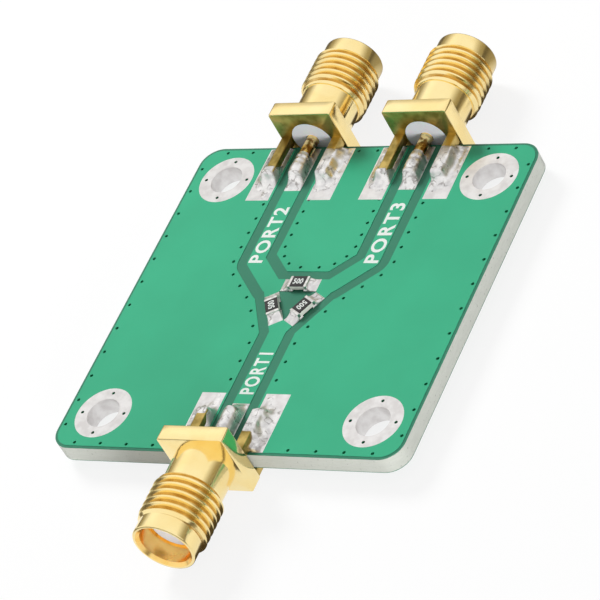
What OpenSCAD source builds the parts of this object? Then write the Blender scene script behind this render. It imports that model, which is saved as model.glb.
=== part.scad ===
// Resistive RF power splitter: a two-layer board with three edge-launch coaxial jacks.
// Millimetres. Origin under the middle of the board at the level of the flange bottoms, +Z up,
// input jack towards -Y, output jacks towards +Y.

/* [Board] */
// Width of the board along X
board_w = 36; // [32:0.5:48]
// Length of the board along Y
board_l = 36; // [34:0.5:48]
// Thickness of the laminate
board_t = 1.6; // [1:0.1:1.8]
// Radius of the board's corners
corner_r = 2; // [0.5:0.1:3]
// Copper foil, drawn a little thicker than real foil
copper_t = 0.04; // [0.03:0.005:0.05]
// Solder mask and tin over the copper
mask_t = 0.06; // [0.055:0.005:0.08]
// Pull-back of the copper from the board's edge
copper_inset = 0.25; // [0.1:0.05:0.4]

/* [Mounting holes] */
// Spacing of the mounting holes along X
hole_pitch_x = 28; // [25:0.5:29]
// Spacing of the mounting holes along Y
hole_pitch_y = 28; // [25:0.5:29]
// Clear bore of a mounting hole
hole_d = 3.2; // [2.7:0.1:3.4]
// Outer diameter of the tinned ring
ring_d = 5.6; // [5.4:0.1:6]
// Wall of the plated sleeve
sleeve_t = 0.15; // [0.05:0.01:0.15]
// Distance of the ring's vias from the hole's centre
ring_via_r = 2.25; // [2.15:0.05:2.3]

/* [Lines] */
// Width of a signal strip
strip_w = 1.75; // [1.4:0.05:2]
// Gap between a strip and the ground copper
line_gap = 1; // [0.6:0.05:1.1]
// Spacing of the two output jacks
out_pitch = 12.2; // [11.8:0.1:13]
// Length of the bare end of a strip under a jack's pin
signal_pad_l = 5.25; // [5:0.05:6]
// Near side of a ground pad, from the jack's axis
ground_pad_near = 2.1; // [2:0.05:2.2]
// Far side of a ground pad, from the jack's axis
ground_pad_far = 4.6; // [4.2:0.1:4.8]
// Length of a ground pad
ground_pad_l = 6.4; // [6:0.05:7]

/* [Resistors] */
// Distance of each resistor from the middle of the triangle
delta_r = 1.85; // [1.7:0.05:2.1]
// Middle of the resistor triangle along Y
delta_y = -0.75; // [-1.5:0.05:0.5]
// Length of a chip resistor
chip_l = 2; // [1.8:0.05:2.2]
// Width of a chip resistor
chip_w = 1.25; // [1:0.05:1.35]
// Height of the ceramic
chip_t = 0.42; // [0.3:0.02:0.5]
// Thickness of the black overcoat
overcoat_t = 0.06; // [0.04:0.01:0.1]
// Metal thickness of a terminal
terminal_t = 0.05; // [0.03:0.01:0.08]
// Length of a terminal on the top and the bottom
terminal_l = 0.4; // [0.3:0.02:0.5]
// Start of a resistor pad, from the resistor's middle
chip_pad_near = 0.55; // [0.5:0.05:0.6]
// End of a resistor pad, from the resistor's middle
chip_pad_far = 1.9; // [1.7:0.05:2]
// Width of a resistor pad
chip_pad_w = 1.4; // [1.3:0.05:1.5]

/* [Vias] */
// Outer diameter of a via barrel
via_d = 0.5; // [0.4:0.02:0.54]
// Open bore of a via
via_bore = 0.32; // [0.2:0.02:0.36]
// Distance of the edge vias from the board's edge
via_edge = 0.6; // [0.52:0.02:0.8]
// Pitch of the edge vias
via_pitch = 2.8; // [2.4:0.1:3.2]
// Distance of the fence vias from the edge of the ground copper
fence_inset = 0.5; // [0.4:0.05:0.6]
// Fence vias beside the straight part of an output line
fence_n = 6; // [3:1:6]
// Fence vias beside the slanted part of an output line
slant_n = 3; // [2:1:3]
// Fence vias beside the input line
input_fence_n = 3; // [2:1:4]

/* [Jack shell] */
// Side of the square flange
flange_w = 6.7; // [6.6:0.05:7.4]
// Thickness of the flange
flange_t = 1.55; // [1:0.05:2.5]
// Corner radius of the flange
flange_r = 0.25; // [0.1:0.05:0.5]
// Gap between the flange and the board's edge
edge_gap = 0.3; // [0.1:0.05:0.5]
// Diameter of the neck between flange and thread
neck_d = 5.4; // [5:0.05:5.6]
// Length of the neck
neck_l = 3; // [1.5:0.1:4]
// Outer diameter of the threaded barrel
thread_d = 6.35; // [6.1:0.05:6.35]
// Length of the threaded barrel
thread_l = 4.4; // [3:0.1:7]
// Bevel at the ends of the thread
thread_bevel = 0.4; // [0.2:0.05:0.4]
// Diameter of the plain lead-in at the mouth
lead_d = 5.7; // [5.2:0.05:5.8]
// Length of the plain lead-in
lead_l = 1.45; // [0.8:0.05:2]
// Rounding bevel at the lip
lip_bevel = 0.15; // [0.05:0.01:0.25]
// Bore of the mouth
mouth_d = 4.6; // [4.5:0.05:4.7]
// Depth of the mouth down to the insulator
mouth_l = 1.95; // [1.5:0.05:2.5]
// Width of a solder leg
leg_w = 0.95; // [0.7:0.05:1.05]
// Height of an upper leg
leg_h = 1; // [0.6:0.05:1.2]
// Height of a lower leg
lower_leg_h = 0.8; // [0.5:0.05:0.85]
// Length of a leg from the flange
leg_l = 4.3; // [3.5:0.1:4.8]
// Distance of a leg from the jack's axis
leg_x = 2.76; // [2.7:0.02:2.8]

/* [Jack inside] */
// Diameter of the insulator
insulator_d = 4.1; // [3.8:0.05:4.2]
// Diameter of the centre pin
pin_d = 1.2; // [1:0.05:1.26]
// Length of the pin past the flange
pin_l = 4.5; // [3.8:0.1:4.8]
// Diameter of the contact inside the insulator
contact_d = 1.27; // [1.26:0.01:1.4]
// Bore of the contact's socket
socket_d = 0.94; // [0.9:0.01:0.96]
// Depth of the contact's socket
socket_l = 2.6; // [1.5:0.1:4]
// Width of the slots in the socket
slot_w = 0.2; // [0.1:0.02:0.3]
// Length of the slots in the socket
slot_l = 2; // [1:0.1:2.5]

/* [Fits and solder] */
// Clearance round the insulator, the contact and the vias
fit_gap = 0.01; // [0.005:0.005:0.03]
// Solder film under the pins and the legs
seat_gap = 0.02; // [0.01:0.005:0.05]
// Radius of the solder fillet along a leg
leg_fillet = 0.55; // [0.3:0.05:0.6]
// Solder coat over the end of a pin
pin_coat = 0.1; // [0.05:0.01:0.15]
// Length of pin that the solder covers
pin_wet_l = 2.7; // [1.5:0.1:3.2]
// Radius of the solder fillet at a resistor's end
chip_fillet = 0.4; // [0.2:0.02:0.42]

/* [Hidden] */
// Smoothness of round faces
$fn = 64;
// Overlap that keeps cuts clean
cut = 1;
// Stack of the board, from the flange bottoms up
layer_t = copper_t + mask_t;
pin_r = pin_d / 2;
axis_z = flange_w / 2;
face_top = axis_z - pin_r - seat_gap;
lam_top = face_top - layer_t;
lam_bottom = lam_top - board_t;
face_bottom = lam_bottom - layer_t;
// Rows of the copper layout
half_w = board_w / 2;
half_l = board_l / 2;
clear_w = strip_w + 2 * line_gap;
out_x = out_pitch / 2;
corner_x = delta_r * sqrt(3);
corner_y = delta_y + delta_r;
bend_y = corner_y + out_x - corner_x;
input_y = delta_y - 2 * delta_r;
triangle_in = delta_r + chip_w / 2 + line_gap;
pad_reach = corner_x + line_gap / 4;
drill_d = hole_d + 2 * sleeve_t;
// Places along a jack, outwards from the board's edge
flange_end = edge_gap + flange_t;
neck_end = flange_end + neck_l;
thread_end = neck_end + thread_l;
mouth_end = thread_end + lead_l;
insulator_end = mouth_end - mouth_l;
lower_leg_top = face_bottom - axis_z - seat_gap;
// Jacks: place along X and turn about Z
JACK_X = [0, -out_x, out_x];
JACK_TURN = [180, 0, 0];
INPUT = 0;
OUTPUT_1 = 1;
OUTPUT_2 = 2;
HOLES = [for (sx = [-1, 1], sy = [-1, 1]) [sx * hole_pitch_x / 2, sy * hole_pitch_y / 2]];

// Rows of vias along the edges, clear of the jacks' pads
edge_x = half_w - via_edge;
edge_y = half_l - via_edge;
pad_clear = ground_pad_far + via_d;
row_x = [for (p = [via_pitch / 2 : via_pitch : half_w - corner_r]) p];
row_y = [for (p = [via_pitch / 2 : via_pitch : half_l - corner_r]) p];
EDGE_VIAS = concat(
    [for (y = row_y, s = [-1, 1]) [edge_x, s * y]],
    [for (x = row_x) if (x > pad_clear) [x, -edge_y]],
    [for (x = row_x) if (x > out_x + pad_clear) [x, edge_y]],
    [[out_x - pad_clear, edge_y]]
);
// Corners of the via fences on the right half of the board, beside the lines and the triangle
fence_off = clear_w / 2 + fence_inset;
slant = out_x - bend_y;
slant_off = fence_off * sqrt(2);
side_off = triangle_in + fence_inset;
fence_top = half_l + edge_gap - leg_l - via_d;
island_y = delta_y + side_off;
inner_top = [out_x - fence_off, fence_top];
inner_bend = [inner_top[0], inner_top[0] - slant + slant_off];
inner_foot = [island_y + slant - slant_off, island_y];
outer_top = [out_x + fence_off, fence_top];
outer_bend = [outer_top[0], outer_top[0] - slant - slant_off];
function on_side(x) = [x, delta_y - 2 * side_off + x * sqrt(3)];
outer_foot = on_side((2 * side_off - delta_y - slant - slant_off) / (sqrt(3) - 1));
input_bend = on_side(fence_off);
input_end = [fence_off, -half_l + copper_inset + ground_pad_l + via_d];
// Evenly spaced points between two corners, half a step in from each
function spread(a, b, n) = [for (i = [0 : n - 1]) a + (b - a) * (i + 0.5) / n];
FENCE_VIAS = concat(
    spread(inner_top, inner_bend, fence_n),
    spread(inner_bend, inner_foot, slant_n - 1),
    spread([0, island_y], inner_foot, 1),
    spread(outer_top, outer_bend, fence_n),
    spread(outer_bend, outer_foot, slant_n),
    spread(outer_foot, input_bend, slant_n - 1),
    spread(input_bend, input_end, input_fence_n)
);
BOARD_VIAS = [for (v = concat(EDGE_VIAS, FENCE_VIAS), s = [-1, 1]) [s * v[0], v[1]]];
RING_VIAS = [for (h = HOLES, a = [0 : 90 : 270]) h + ring_via_r * [cos(a), sin(a)]];
ALL_VIAS = concat(BOARD_VIAS, RING_VIAS);

// Flat shapes of the board

module rounded_rect(w, l, r) {
    square([w - 2 * r, l], center = true);
    square([w, l - 2 * r], center = true);
    for (sx = [-1, 1], sy = [-1, 1])
        translate([sx * (w / 2 - r), sy * (l / 2 - r)]) circle(r);
}

module outline() {
    rounded_rect(board_w, board_l, corner_r);
}

module copper_outline() {
    rounded_rect(board_w - 2 * copper_inset, board_l - 2 * copper_inset, corner_r - copper_inset);
}

module holes(d) {
    for (h = HOLES) translate(h) circle(d = d);
}

module via_dots(d, places) {
    for (v = places) translate(v) circle(d = d, $fn = 24);
}

// A straight band between two points with one round end
module band(a, b, w) {
    d = b - a;
    translate(a) rotate(atan2(d[1], d[0])) translate([0, -w / 2]) square([norm(d), w]);
    translate(b) circle(d = w);
}

// Centre line of one signal line, drawn to a width
module line(jack, w, reach) {
    if (jack == INPUT)
        band([0, -reach], [0, input_y], w);
    else {
        side = sign(JACK_X[jack]);
        band([side * out_x, reach], [side * out_x, bend_y], w);
        band([side * out_x, bend_y], [side * corner_x, corner_y], w);
    }
}

// The part of the board that the ground copper leaves free
module line_clearance() {
    for (jack = [INPUT, OUTPUT_1, OUTPUT_2]) line(jack, clear_w, half_l + cut);
    translate([0, delta_y]) rotate(-90) circle(2 * triangle_in, $fn = 3);
}

// One pad under the +X end of a resistor that lies along X
module chip_pad(near, far) {
    translate([near, delta_r - chip_pad_w / 2]) square([far - near, chip_pad_w]);
}

// One of the two pads at a corner of the triangle: corner 0 is output 2, 1 is output 1, 2 is the input
module corner_pad(corner, pad, near, far) {
    translate([0, delta_y]) rotate(120 * corner + 240 * pad) mirror([pad, 0]) chip_pad(near, far);
}

module strip_shape(jack) {
    line(jack, strip_w, half_l - copper_inset);
    for (pad = [0, 1]) corner_pad(2 - jack, pad, chip_pad_near, pad_reach);
}

module strips() {
    for (jack = [INPUT, OUTPUT_1, OUTPUT_2]) strip_shape(jack);
}

// Flat shapes placed at a jack: Y runs outwards from the board's edge
module at_jack_flat(jack) {
    rotate(JACK_TURN[jack]) translate([JACK_X[jack], half_l]) children();
}

module ground_pads() {
    for (jack = [INPUT, OUTPUT_1, OUTPUT_2]) at_jack_flat(jack)
        for (side = [-1, 1])
            translate([side * (ground_pad_near + ground_pad_far) / 2, -copper_inset - ground_pad_l / 2])
                square([ground_pad_far - ground_pad_near, ground_pad_l], center = true);
}

module signal_pads() {
    for (jack = [INPUT, OUTPUT_1, OUTPUT_2]) at_jack_flat(jack)
        translate([-strip_w / 2, -copper_inset - signal_pad_l]) square([strip_w, signal_pad_l]);
}

module chip_pads() {
    for (corner = [0 : 2], pad = [0, 1]) corner_pad(corner, pad, chip_pad_near, chip_pad_far);
}

module ground_top_shape() {
    difference() {
        copper_outline();
        line_clearance();
        holes(drill_d + 2 * fit_gap);
        via_dots(via_d + 2 * fit_gap, ALL_VIAS);
    }
}

module ground_bottom_shape() {
    difference() {
        copper_outline();
        holes(drill_d + 2 * fit_gap);
        via_dots(via_d + 2 * fit_gap, ALL_VIAS);
    }
}

module at_height(z, t) {
    translate([0, 0, z]) linear_extrude(t) children();
}

// Board pieces

module laminate() {
    color("#c9cbbd")
    at_height(lam_bottom, board_t) difference() {
        outline();
        holes(drill_d + 2 * fit_gap);
        via_dots(via_d + 2 * fit_gap, ALL_VIAS);
    }
}

module ground_copper_top() {
    color("#b87333") at_height(lam_top, copper_t) ground_top_shape();
}

module ground_copper_bottom() {
    color("#b87333") at_height(lam_bottom - copper_t, copper_t) ground_bottom_shape();
}

module strip(jack) {
    color("#b87333") {
        at_height(lam_top, copper_t) line(jack, strip_w, half_l - copper_inset);
        for (pad = [0, 1]) at_height(lam_top, copper_t) corner_pad(2 - jack, pad, chip_pad_near, pad_reach);
    }
}

module mask_openings(top) {
    holes(ring_d);
    ground_pads();
    if (top) {
        signal_pads();
        chip_pads();
    }
    via_dots(via_bore, ALL_VIAS);
}

module solder_mask_top() {
    color("#3fae86") {
        at_height(lam_top, mask_t) difference() {
            outline();
            copper_outline();
        }
        at_height(lam_top, mask_t) difference() {
            intersection() {
                line_clearance();
                copper_outline();
            }
            strips();
        }
        at_height(lam_top + copper_t, mask_t) difference() {
            copper_outline();
            line_clearance();
            mask_openings(true);
        }
        at_height(lam_top + copper_t, mask_t) difference() {
            strips();
            mask_openings(true);
        }
    }
}

module solder_mask_bottom() {
    color("#3fae86") {
        at_height(lam_bottom - mask_t, mask_t) difference() {
            outline();
            copper_outline();
        }
        at_height(face_bottom, mask_t) difference() {
            copper_outline();
            mask_openings(false);
        }
    }
}

module stitching_vias() {
    color("#1d5c43")
    at_height(lam_bottom - copper_t, board_t + 2 * copper_t) difference() {
        via_dots(via_d, ALL_VIAS);
        via_dots(via_bore, ALL_VIAS);
    }
}

// A tinned sleeve through the board with a ring on each face
module plated_mounting_holes() {
    color("#dcdcd8") difference() {
        for (h = HOLES) translate([h[0], h[1], 0]) {
            translate([0, 0, face_bottom]) cylinder(d = ring_d, h = mask_t);
            translate([0, 0, face_top - mask_t]) cylinder(d = ring_d, h = mask_t);
            translate([0, 0, face_bottom]) cylinder(d = drill_d, h = face_top - face_bottom);
        }
        for (h = HOLES) translate([h[0], h[1], face_bottom - cut])
            cylinder(d = hole_d, h = face_top - face_bottom + 2 * cut);
        for (v = RING_VIAS) translate([v[0], v[1], face_bottom - cut])
            cylinder(d = via_bore, h = face_top - face_bottom + 2 * cut, $fn = 24);
    }
}

module pad_tinning_top() {
    color("#e2e2e0") at_height(face_top - mask_t, mask_t) difference() {
        union() {
            ground_pads();
            signal_pads();
            chip_pads();
        }
        via_dots(via_bore, ALL_VIAS);
    }
}

module pad_tinning_bottom() {
    color("#e2e2e0") at_height(face_bottom, mask_t) difference() {
        ground_pads();
        via_dots(via_bore, ALL_VIAS);
    }
}

// Jack pieces: local Y runs outwards from the board's edge, local origin on the jack's axis

module at_jack(jack) {
    rotate([0, 0, JACK_TURN[jack]])
        translate([JACK_X[jack], half_l, axis_z]) children();
}

// A turned shape about the jack's axis from a profile of [radius, place] points
module turned(profile) {
    rotate([-90, 0, 0]) rotate_extrude() polygon(profile);
}

module leg(z, h) {
    translate([-leg_w / 2, edge_gap - leg_l, z]) cube([leg_w, leg_l + cut / 2, h]);
}

module shell_outside() {
    turned([
        [0, edge_gap], [neck_d / 2, edge_gap], [neck_d / 2, neck_end],
        [thread_d / 2 - thread_bevel, neck_end], [thread_d / 2, neck_end + thread_bevel],
        [thread_d / 2, thread_end - thread_bevel], [lead_d / 2, thread_end],
        [lead_d / 2, mouth_end - lip_bevel], [lead_d / 2 - lip_bevel, mouth_end], [0, mouth_end]
    ]);
    translate([0, edge_gap, 0]) rotate([-90, 0, 0])
        linear_extrude(flange_t) rounded_rect(flange_w, flange_w, flange_r);
    for (side = [-1, 1]) translate([side * leg_x, 0, 0]) {
        leg(-pin_r, leg_h);
        leg(lower_leg_top - lower_leg_h, lower_leg_h);
    }
}

module jack_shell(jack) {
    color("#d9b24a") at_jack(jack) difference() {
        shell_outside();
        rotate([-90, 0, 0]) {
            cylinder(d = insulator_d + 2 * fit_gap, h = mouth_end);
            translate([0, 0, insulator_end]) cylinder(d = mouth_d, h = mouth_l + cut);
        }
    }
}

module jack_insulator(jack) {
    color("#e6e6e8") at_jack(jack) rotate([-90, 0, 0]) difference() {
        translate([0, 0, edge_gap]) cylinder(d = insulator_d, h = insulator_end - edge_gap);
        translate([0, 0, edge_gap - cut])
            cylinder(d = contact_d + 2 * fit_gap, h = insulator_end - edge_gap + 2 * cut);
    }
}

module jack_contact(jack) {
    color("#d9b24a") at_jack(jack) difference() {
        union() {
            turned([
                [0, edge_gap - pin_l], [pin_r, edge_gap - pin_l], [pin_r, edge_gap],
                [contact_d / 2, edge_gap], [contact_d / 2, insulator_end], [0, insulator_end]
            ]);
        }
        rotate([-90, 0, 0]) translate([0, 0, insulator_end - socket_l])
            cylinder(d = socket_d, h = socket_l + cut);
        translate([-contact_d, insulator_end - slot_l, -slot_w / 2])
            cube([2 * contact_d, slot_l + cut, slot_w]);
    }
}

// Hollow corner of solder, with its feet along X and Z
module fillet_profile(r) {
    difference() {
        square(r);
        translate([r, r]) circle(r);
    }
}

// Solder round a leg that starts at the origin, runs along -Y and stands up along +Z
module leg_solder() {
    near_r = leg_x - leg_w / 2 - ground_pad_near;
    wet_l = leg_l - edge_gap - copper_inset;
    foot = min(leg_fillet, leg_h - seat_gap);
    translate([leg_w / 2, -copper_inset, 0]) rotate([90, 0, 0]) linear_extrude(wet_l) fillet_profile(foot);
    translate([-leg_w / 2, -copper_inset, 0]) rotate([90, 0, 0]) linear_extrude(wet_l)
        mirror([1, 0]) fillet_profile(near_r);
    translate([0, edge_gap - leg_l, 0]) {
        translate([-leg_w / 2, 0, 0]) rotate([90, 0, 90]) linear_extrude(leg_w)
            mirror([1, 0]) fillet_profile(foot);
        translate([leg_w / 2, 0, 0]) rotate([0, 0, -90]) rotate_extrude(angle = 90) fillet_profile(foot);
    }
}

// Solder over the end of a pin: a coat, a skirt down to the pad and a slope to the pad's end
module pin_solder() {
    pin_end = edge_gap - pin_l;
    wet_end = pin_end + pin_wet_l;
    pad_end = -copper_inset - signal_pad_l;
    floor_z = -pin_r - seat_gap;
    coat_r = pin_r + pin_coat;
    skirt = strip_w / 2 - pin_coat / 2;
    intersection() {
        translate([0, wet_end, 0]) rotate([90, 0, 0]) linear_extrude(wet_end - pad_end) {
            intersection() {
                circle(coat_r);
                translate([-coat_r, floor_z]) square(2 * coat_r);
            }
            polygon([[-skirt, floor_z], [skirt, floor_z], [pin_r, 0], [-pin_r, 0]]);
        }
        rotate([90, 0, 90]) translate([0, 0, -strip_w]) linear_extrude(2 * strip_w) polygon([
            [pad_end, floor_z], [wet_end, floor_z], [wet_end, 0], [wet_end - pin_r, coat_r],
            [pin_end - pin_coat, coat_r], [pad_end, floor_z + pin_coat]
        ]);
    }
}

module jack_solder(jack) {
    color("#c4c4c6") at_jack(jack) {
        difference() {
            pin_solder();
            rotate([90, 0, 0]) translate([0, 0, -edge_gap]) cylinder(r = pin_r + fit_gap, h = pin_l);
        }
        for (side = [0, 1]) mirror([side, 0, 0]) translate([leg_x, 0, 0]) {
            translate([0, 0, -pin_r - seat_gap]) leg_solder();
            translate([0, 0, lower_leg_top + seat_gap]) mirror([0, 0, 1]) leg_solder();
        }
    }
}

// Chip resistor pieces: local X along the chip, local origin on the pads

module at_resistor(turn) {
    translate([0, delta_y, face_top + seat_gap]) rotate([0, 0, 120 * turn]) translate([0, delta_r, 0])
        children();
}

module resistor_substrate(turn) {
    color("#e9e6de") at_resistor(turn)
        translate([-chip_l / 2 + terminal_t, -chip_w / 2, terminal_t])
            cube([chip_l - 2 * terminal_t, chip_w, chip_t]);
}

module resistor_overcoat(turn) {
    color("#1c1a1a") at_resistor(turn)
        translate([-chip_l / 2 + terminal_l, -chip_w / 2 + overcoat_t, terminal_t + chip_t])
            cube([chip_l - 2 * terminal_l, chip_w - 2 * overcoat_t, overcoat_t]);
}

// Folded end caps: over the top, down the end and under the bottom
module resistor_terminals(turn) {
    cap_h = chip_t + 2 * terminal_t;
    color("#d4d4d4") at_resistor(turn) for (side = [0, 1]) mirror([side, 0, 0])
        difference() {
            translate([chip_l / 2 - terminal_l, -chip_w / 2, 0]) cube([terminal_l, chip_w, cap_h]);
            translate([0, -chip_w / 2 - cut, terminal_t]) cube([chip_l / 2 - terminal_t, chip_w + 2 * cut, chip_t]);
        }
}

module resistor_solder() {
    cap_h = chip_t + 2 * terminal_t + seat_gap;
    foot = min(chip_fillet, cap_h, chip_pad_far - chip_l / 2);
    color("#c9c9cb") for (turn = [0 : 2]) at_resistor(turn) for (side = [0, 1]) mirror([side, 0, 0])
        translate([chip_l / 2, chip_w / 2, -seat_gap]) rotate([90, 0, 0])
            linear_extrude(chip_w) fillet_profile(foot);
}

laminate();
ground_copper_top();
ground_copper_bottom();
strip(INPUT);  // strip_input
strip(OUTPUT_1);  // strip_output_1
strip(OUTPUT_2);  // strip_output_2
solder_mask_top();
solder_mask_bottom();
stitching_vias();
plated_mounting_holes();
pad_tinning_top();
pad_tinning_bottom();
jack_shell(INPUT);  // input_jack_shell
jack_insulator(INPUT);  // input_jack_insulator
jack_contact(INPUT);  // input_jack_contact
jack_solder(INPUT);  // input_jack_solder
jack_shell(OUTPUT_1);  // output_1_jack_shell
jack_insulator(OUTPUT_1);  // output_1_jack_insulator
jack_contact(OUTPUT_1);  // output_1_jack_contact
jack_solder(OUTPUT_1);  // output_1_jack_solder
jack_shell(OUTPUT_2);  // output_2_jack_shell
jack_insulator(OUTPUT_2);  // output_2_jack_insulator
jack_contact(OUTPUT_2);  // output_2_jack_contact
jack_solder(OUTPUT_2);  // output_2_jack_solder
resistor_substrate(0);  // resistor_1_substrate
resistor_overcoat(0);  // resistor_1_overcoat
resistor_terminals(0);  // resistor_1_terminals
resistor_substrate(1);  // resistor_2_substrate
resistor_overcoat(1);  // resistor_2_overcoat
resistor_terminals(1);  // resistor_2_terminals
resistor_substrate(2);  // resistor_3_substrate
resistor_overcoat(2);  // resistor_3_overcoat
resistor_terminals(2);  // resistor_3_terminals
resistor_solder();
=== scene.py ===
"""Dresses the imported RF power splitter: a green board, three coaxial jacks and three chip resistors.

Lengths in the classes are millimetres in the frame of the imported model. Meshes are made in metres.
"""

import functools
import logging
import math
from dataclasses import dataclass, field
from enum import Enum
from typing import Callable, ClassVar, Iterable

import bmesh
import bpy
import numpy as np
from mathutils import Matrix, Vector, noise


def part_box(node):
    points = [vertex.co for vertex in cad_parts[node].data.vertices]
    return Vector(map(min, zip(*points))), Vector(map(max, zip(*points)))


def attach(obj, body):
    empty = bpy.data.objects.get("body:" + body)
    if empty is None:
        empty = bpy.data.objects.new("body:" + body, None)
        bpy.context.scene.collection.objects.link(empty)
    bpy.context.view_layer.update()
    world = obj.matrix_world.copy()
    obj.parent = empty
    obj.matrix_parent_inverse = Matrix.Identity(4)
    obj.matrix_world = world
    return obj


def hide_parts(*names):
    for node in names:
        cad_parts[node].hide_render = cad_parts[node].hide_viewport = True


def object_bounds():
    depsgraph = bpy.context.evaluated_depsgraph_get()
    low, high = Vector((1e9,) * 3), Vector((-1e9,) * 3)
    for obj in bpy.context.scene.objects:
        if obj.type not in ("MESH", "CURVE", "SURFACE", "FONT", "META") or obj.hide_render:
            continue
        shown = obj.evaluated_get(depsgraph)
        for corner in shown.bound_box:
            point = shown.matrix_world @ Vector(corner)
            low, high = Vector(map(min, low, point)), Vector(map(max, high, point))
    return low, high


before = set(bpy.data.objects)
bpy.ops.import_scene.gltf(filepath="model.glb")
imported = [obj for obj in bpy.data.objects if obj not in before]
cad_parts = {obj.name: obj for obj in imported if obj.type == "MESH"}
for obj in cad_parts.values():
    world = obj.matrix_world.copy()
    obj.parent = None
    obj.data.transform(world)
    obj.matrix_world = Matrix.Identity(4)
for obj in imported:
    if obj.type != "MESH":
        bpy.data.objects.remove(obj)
CAD_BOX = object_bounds()

LOG = logging.getLogger("power_splitter")
MM = 0.001
MM_PER_INCH = 25.4
BODY = "root"
# Points closer than this are one point, and edges turned further than this show as creases
MERGE = 1e-4
CREASE_DEG = 38.0
# At a rounded end the corners shrink to one part in this many of the edge's radius
CORNER_PARTS = 20
# The left and the right side of a jack, and the two ends of a chip
HANDS = (-1, 1)
# Sockets of a mix node that are in use when it mixes colours
MIX_SHARE, MIX_FROM, MIX_TO, MIX_RESULT = 0, 6, 7, 2

Placing = Callable[[np.ndarray], np.ndarray]
Heights = Callable[[np.ndarray, np.ndarray], np.ndarray]


class Port(Enum):
    """The three ports, by the names that their CAD nodes carry."""

    INPUT = "input"
    OUTPUT_1 = "output_1"
    OUTPUT_2 = "output_2"


class Face(Enum):
    """The two faces of the board, by the sign of the way each looks along Z."""

    TOP = 1
    BOTTOM = -1


class ShellSkin(Enum):
    """The skins of a jack's shell, by their places in its list of finishes."""

    TURNED = 0
    BOARD_SIDE = 1
    MOUTH = 2
    THREAD_ROOT = 3


def to_linear(colour: str) -> tuple[float, float, float, float]:
    """Turns an sRGB hex colour into the linear values that a shader takes.

    Args:
        colour: The colour as "#RRGGBB".

    Returns:
        Red, green, blue and an alpha of 1.
    """
    parts = [int(colour[i : i + 2], 16) / 255 for i in (1, 3, 5)]
    linear = [p / 12.92 if p <= 0.04045 else ((p + 0.055) / 1.055) ** 2.4 for p in parts]
    return (*linear, 1.0)


WHITE = to_linear("#FFFFFF")


def add_node(
    tree: bpy.types.NodeTree, kind: str, inputs: dict[str | int, object] | None = None, **settings: object
) -> bpy.types.Node:
    """Adds one node with its settings, values and links.

    Args:
        tree: The node tree.
        kind: The node's type name.
        inputs: For each input, by name or place, a value to set or a socket to link.
        **settings: Properties of the node itself.

    Returns:
        The new node.
    """
    node = tree.nodes.new(kind)
    for key, value in settings.items():
        setattr(node, key, value)
    for key, value in (inputs or {}).items():
        if isinstance(value, bpy.types.NodeSocket):
            tree.links.new(value, node.inputs[key])
        else:
            node.inputs[key].default_value = value
    return node


def bare_material(name: str) -> bpy.types.Material:
    """Makes a material without nodes.

    Args:
        name: The material's name.

    Returns:
        The new material, with an empty node tree.
    """
    material = bpy.data.materials.new(name)
    material.use_nodes = True
    material.node_tree.nodes.clear()
    return material


def put_in_scene(name: str, data: bpy.types.ID) -> bpy.types.Object:
    """Makes an object and links it to the scene.

    Args:
        name: The object's name.
        data: Its mesh, curve, lamp or camera.

    Returns:
        The new object.
    """
    thing = bpy.data.objects.new(name, data)
    bpy.context.scene.collection.objects.link(thing)
    return thing


def per_metre(size: float) -> float:
    """Texture scale at which one feature measures size millimetres."""
    return 1 / (size * MM)


def smooth_step(low: float, high: float, value: np.ndarray) -> np.ndarray:
    """Rises smoothly from 0 at low to 1 at high."""
    t = np.clip((np.asarray(value, float) - low) / (high - low), 0, 1)
    return t * t * (3 - 2 * t)


def lumps(points: np.ndarray, size: float) -> np.ndarray:
    """Smooth unevenness, the same on every run.

    Args:
        points: Places in millimetres, one per row.
        size: Width of one lump in millimetres.

    Returns:
        One value from -1 to 1 for each point.
    """
    flat = np.asarray(points, float).reshape(-1, 3) / size
    return np.array([noise.noise(Vector(p)) for p in flat]).reshape(np.shape(points)[:-1])


@dataclass(frozen=True)
class Finish:
    """One surface finish: the name of the real material and the shader that shows it."""

    name: str

    def paint(self, tree: bpy.types.NodeTree, shader: bpy.types.Node) -> None:
        """Adds the pattern nodes and sets the shader. Each kind of finish has its own."""
        raise NotImplementedError


@functools.cache
def material_of(finish: Finish) -> bpy.types.Material:
    """Makes the material of a finish once.

    Args:
        finish: The finish.

    Returns:
        Its material, shared by every piece that has this finish.
    """
    material = bare_material(finish.name)
    tree = material.node_tree
    shader = add_node(tree, "ShaderNodeBsdfPrincipled")
    add_node(tree, "ShaderNodeOutputMaterial", {"Surface": shader.outputs["BSDF"]})
    finish.paint(tree, shader)
    return material


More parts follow.
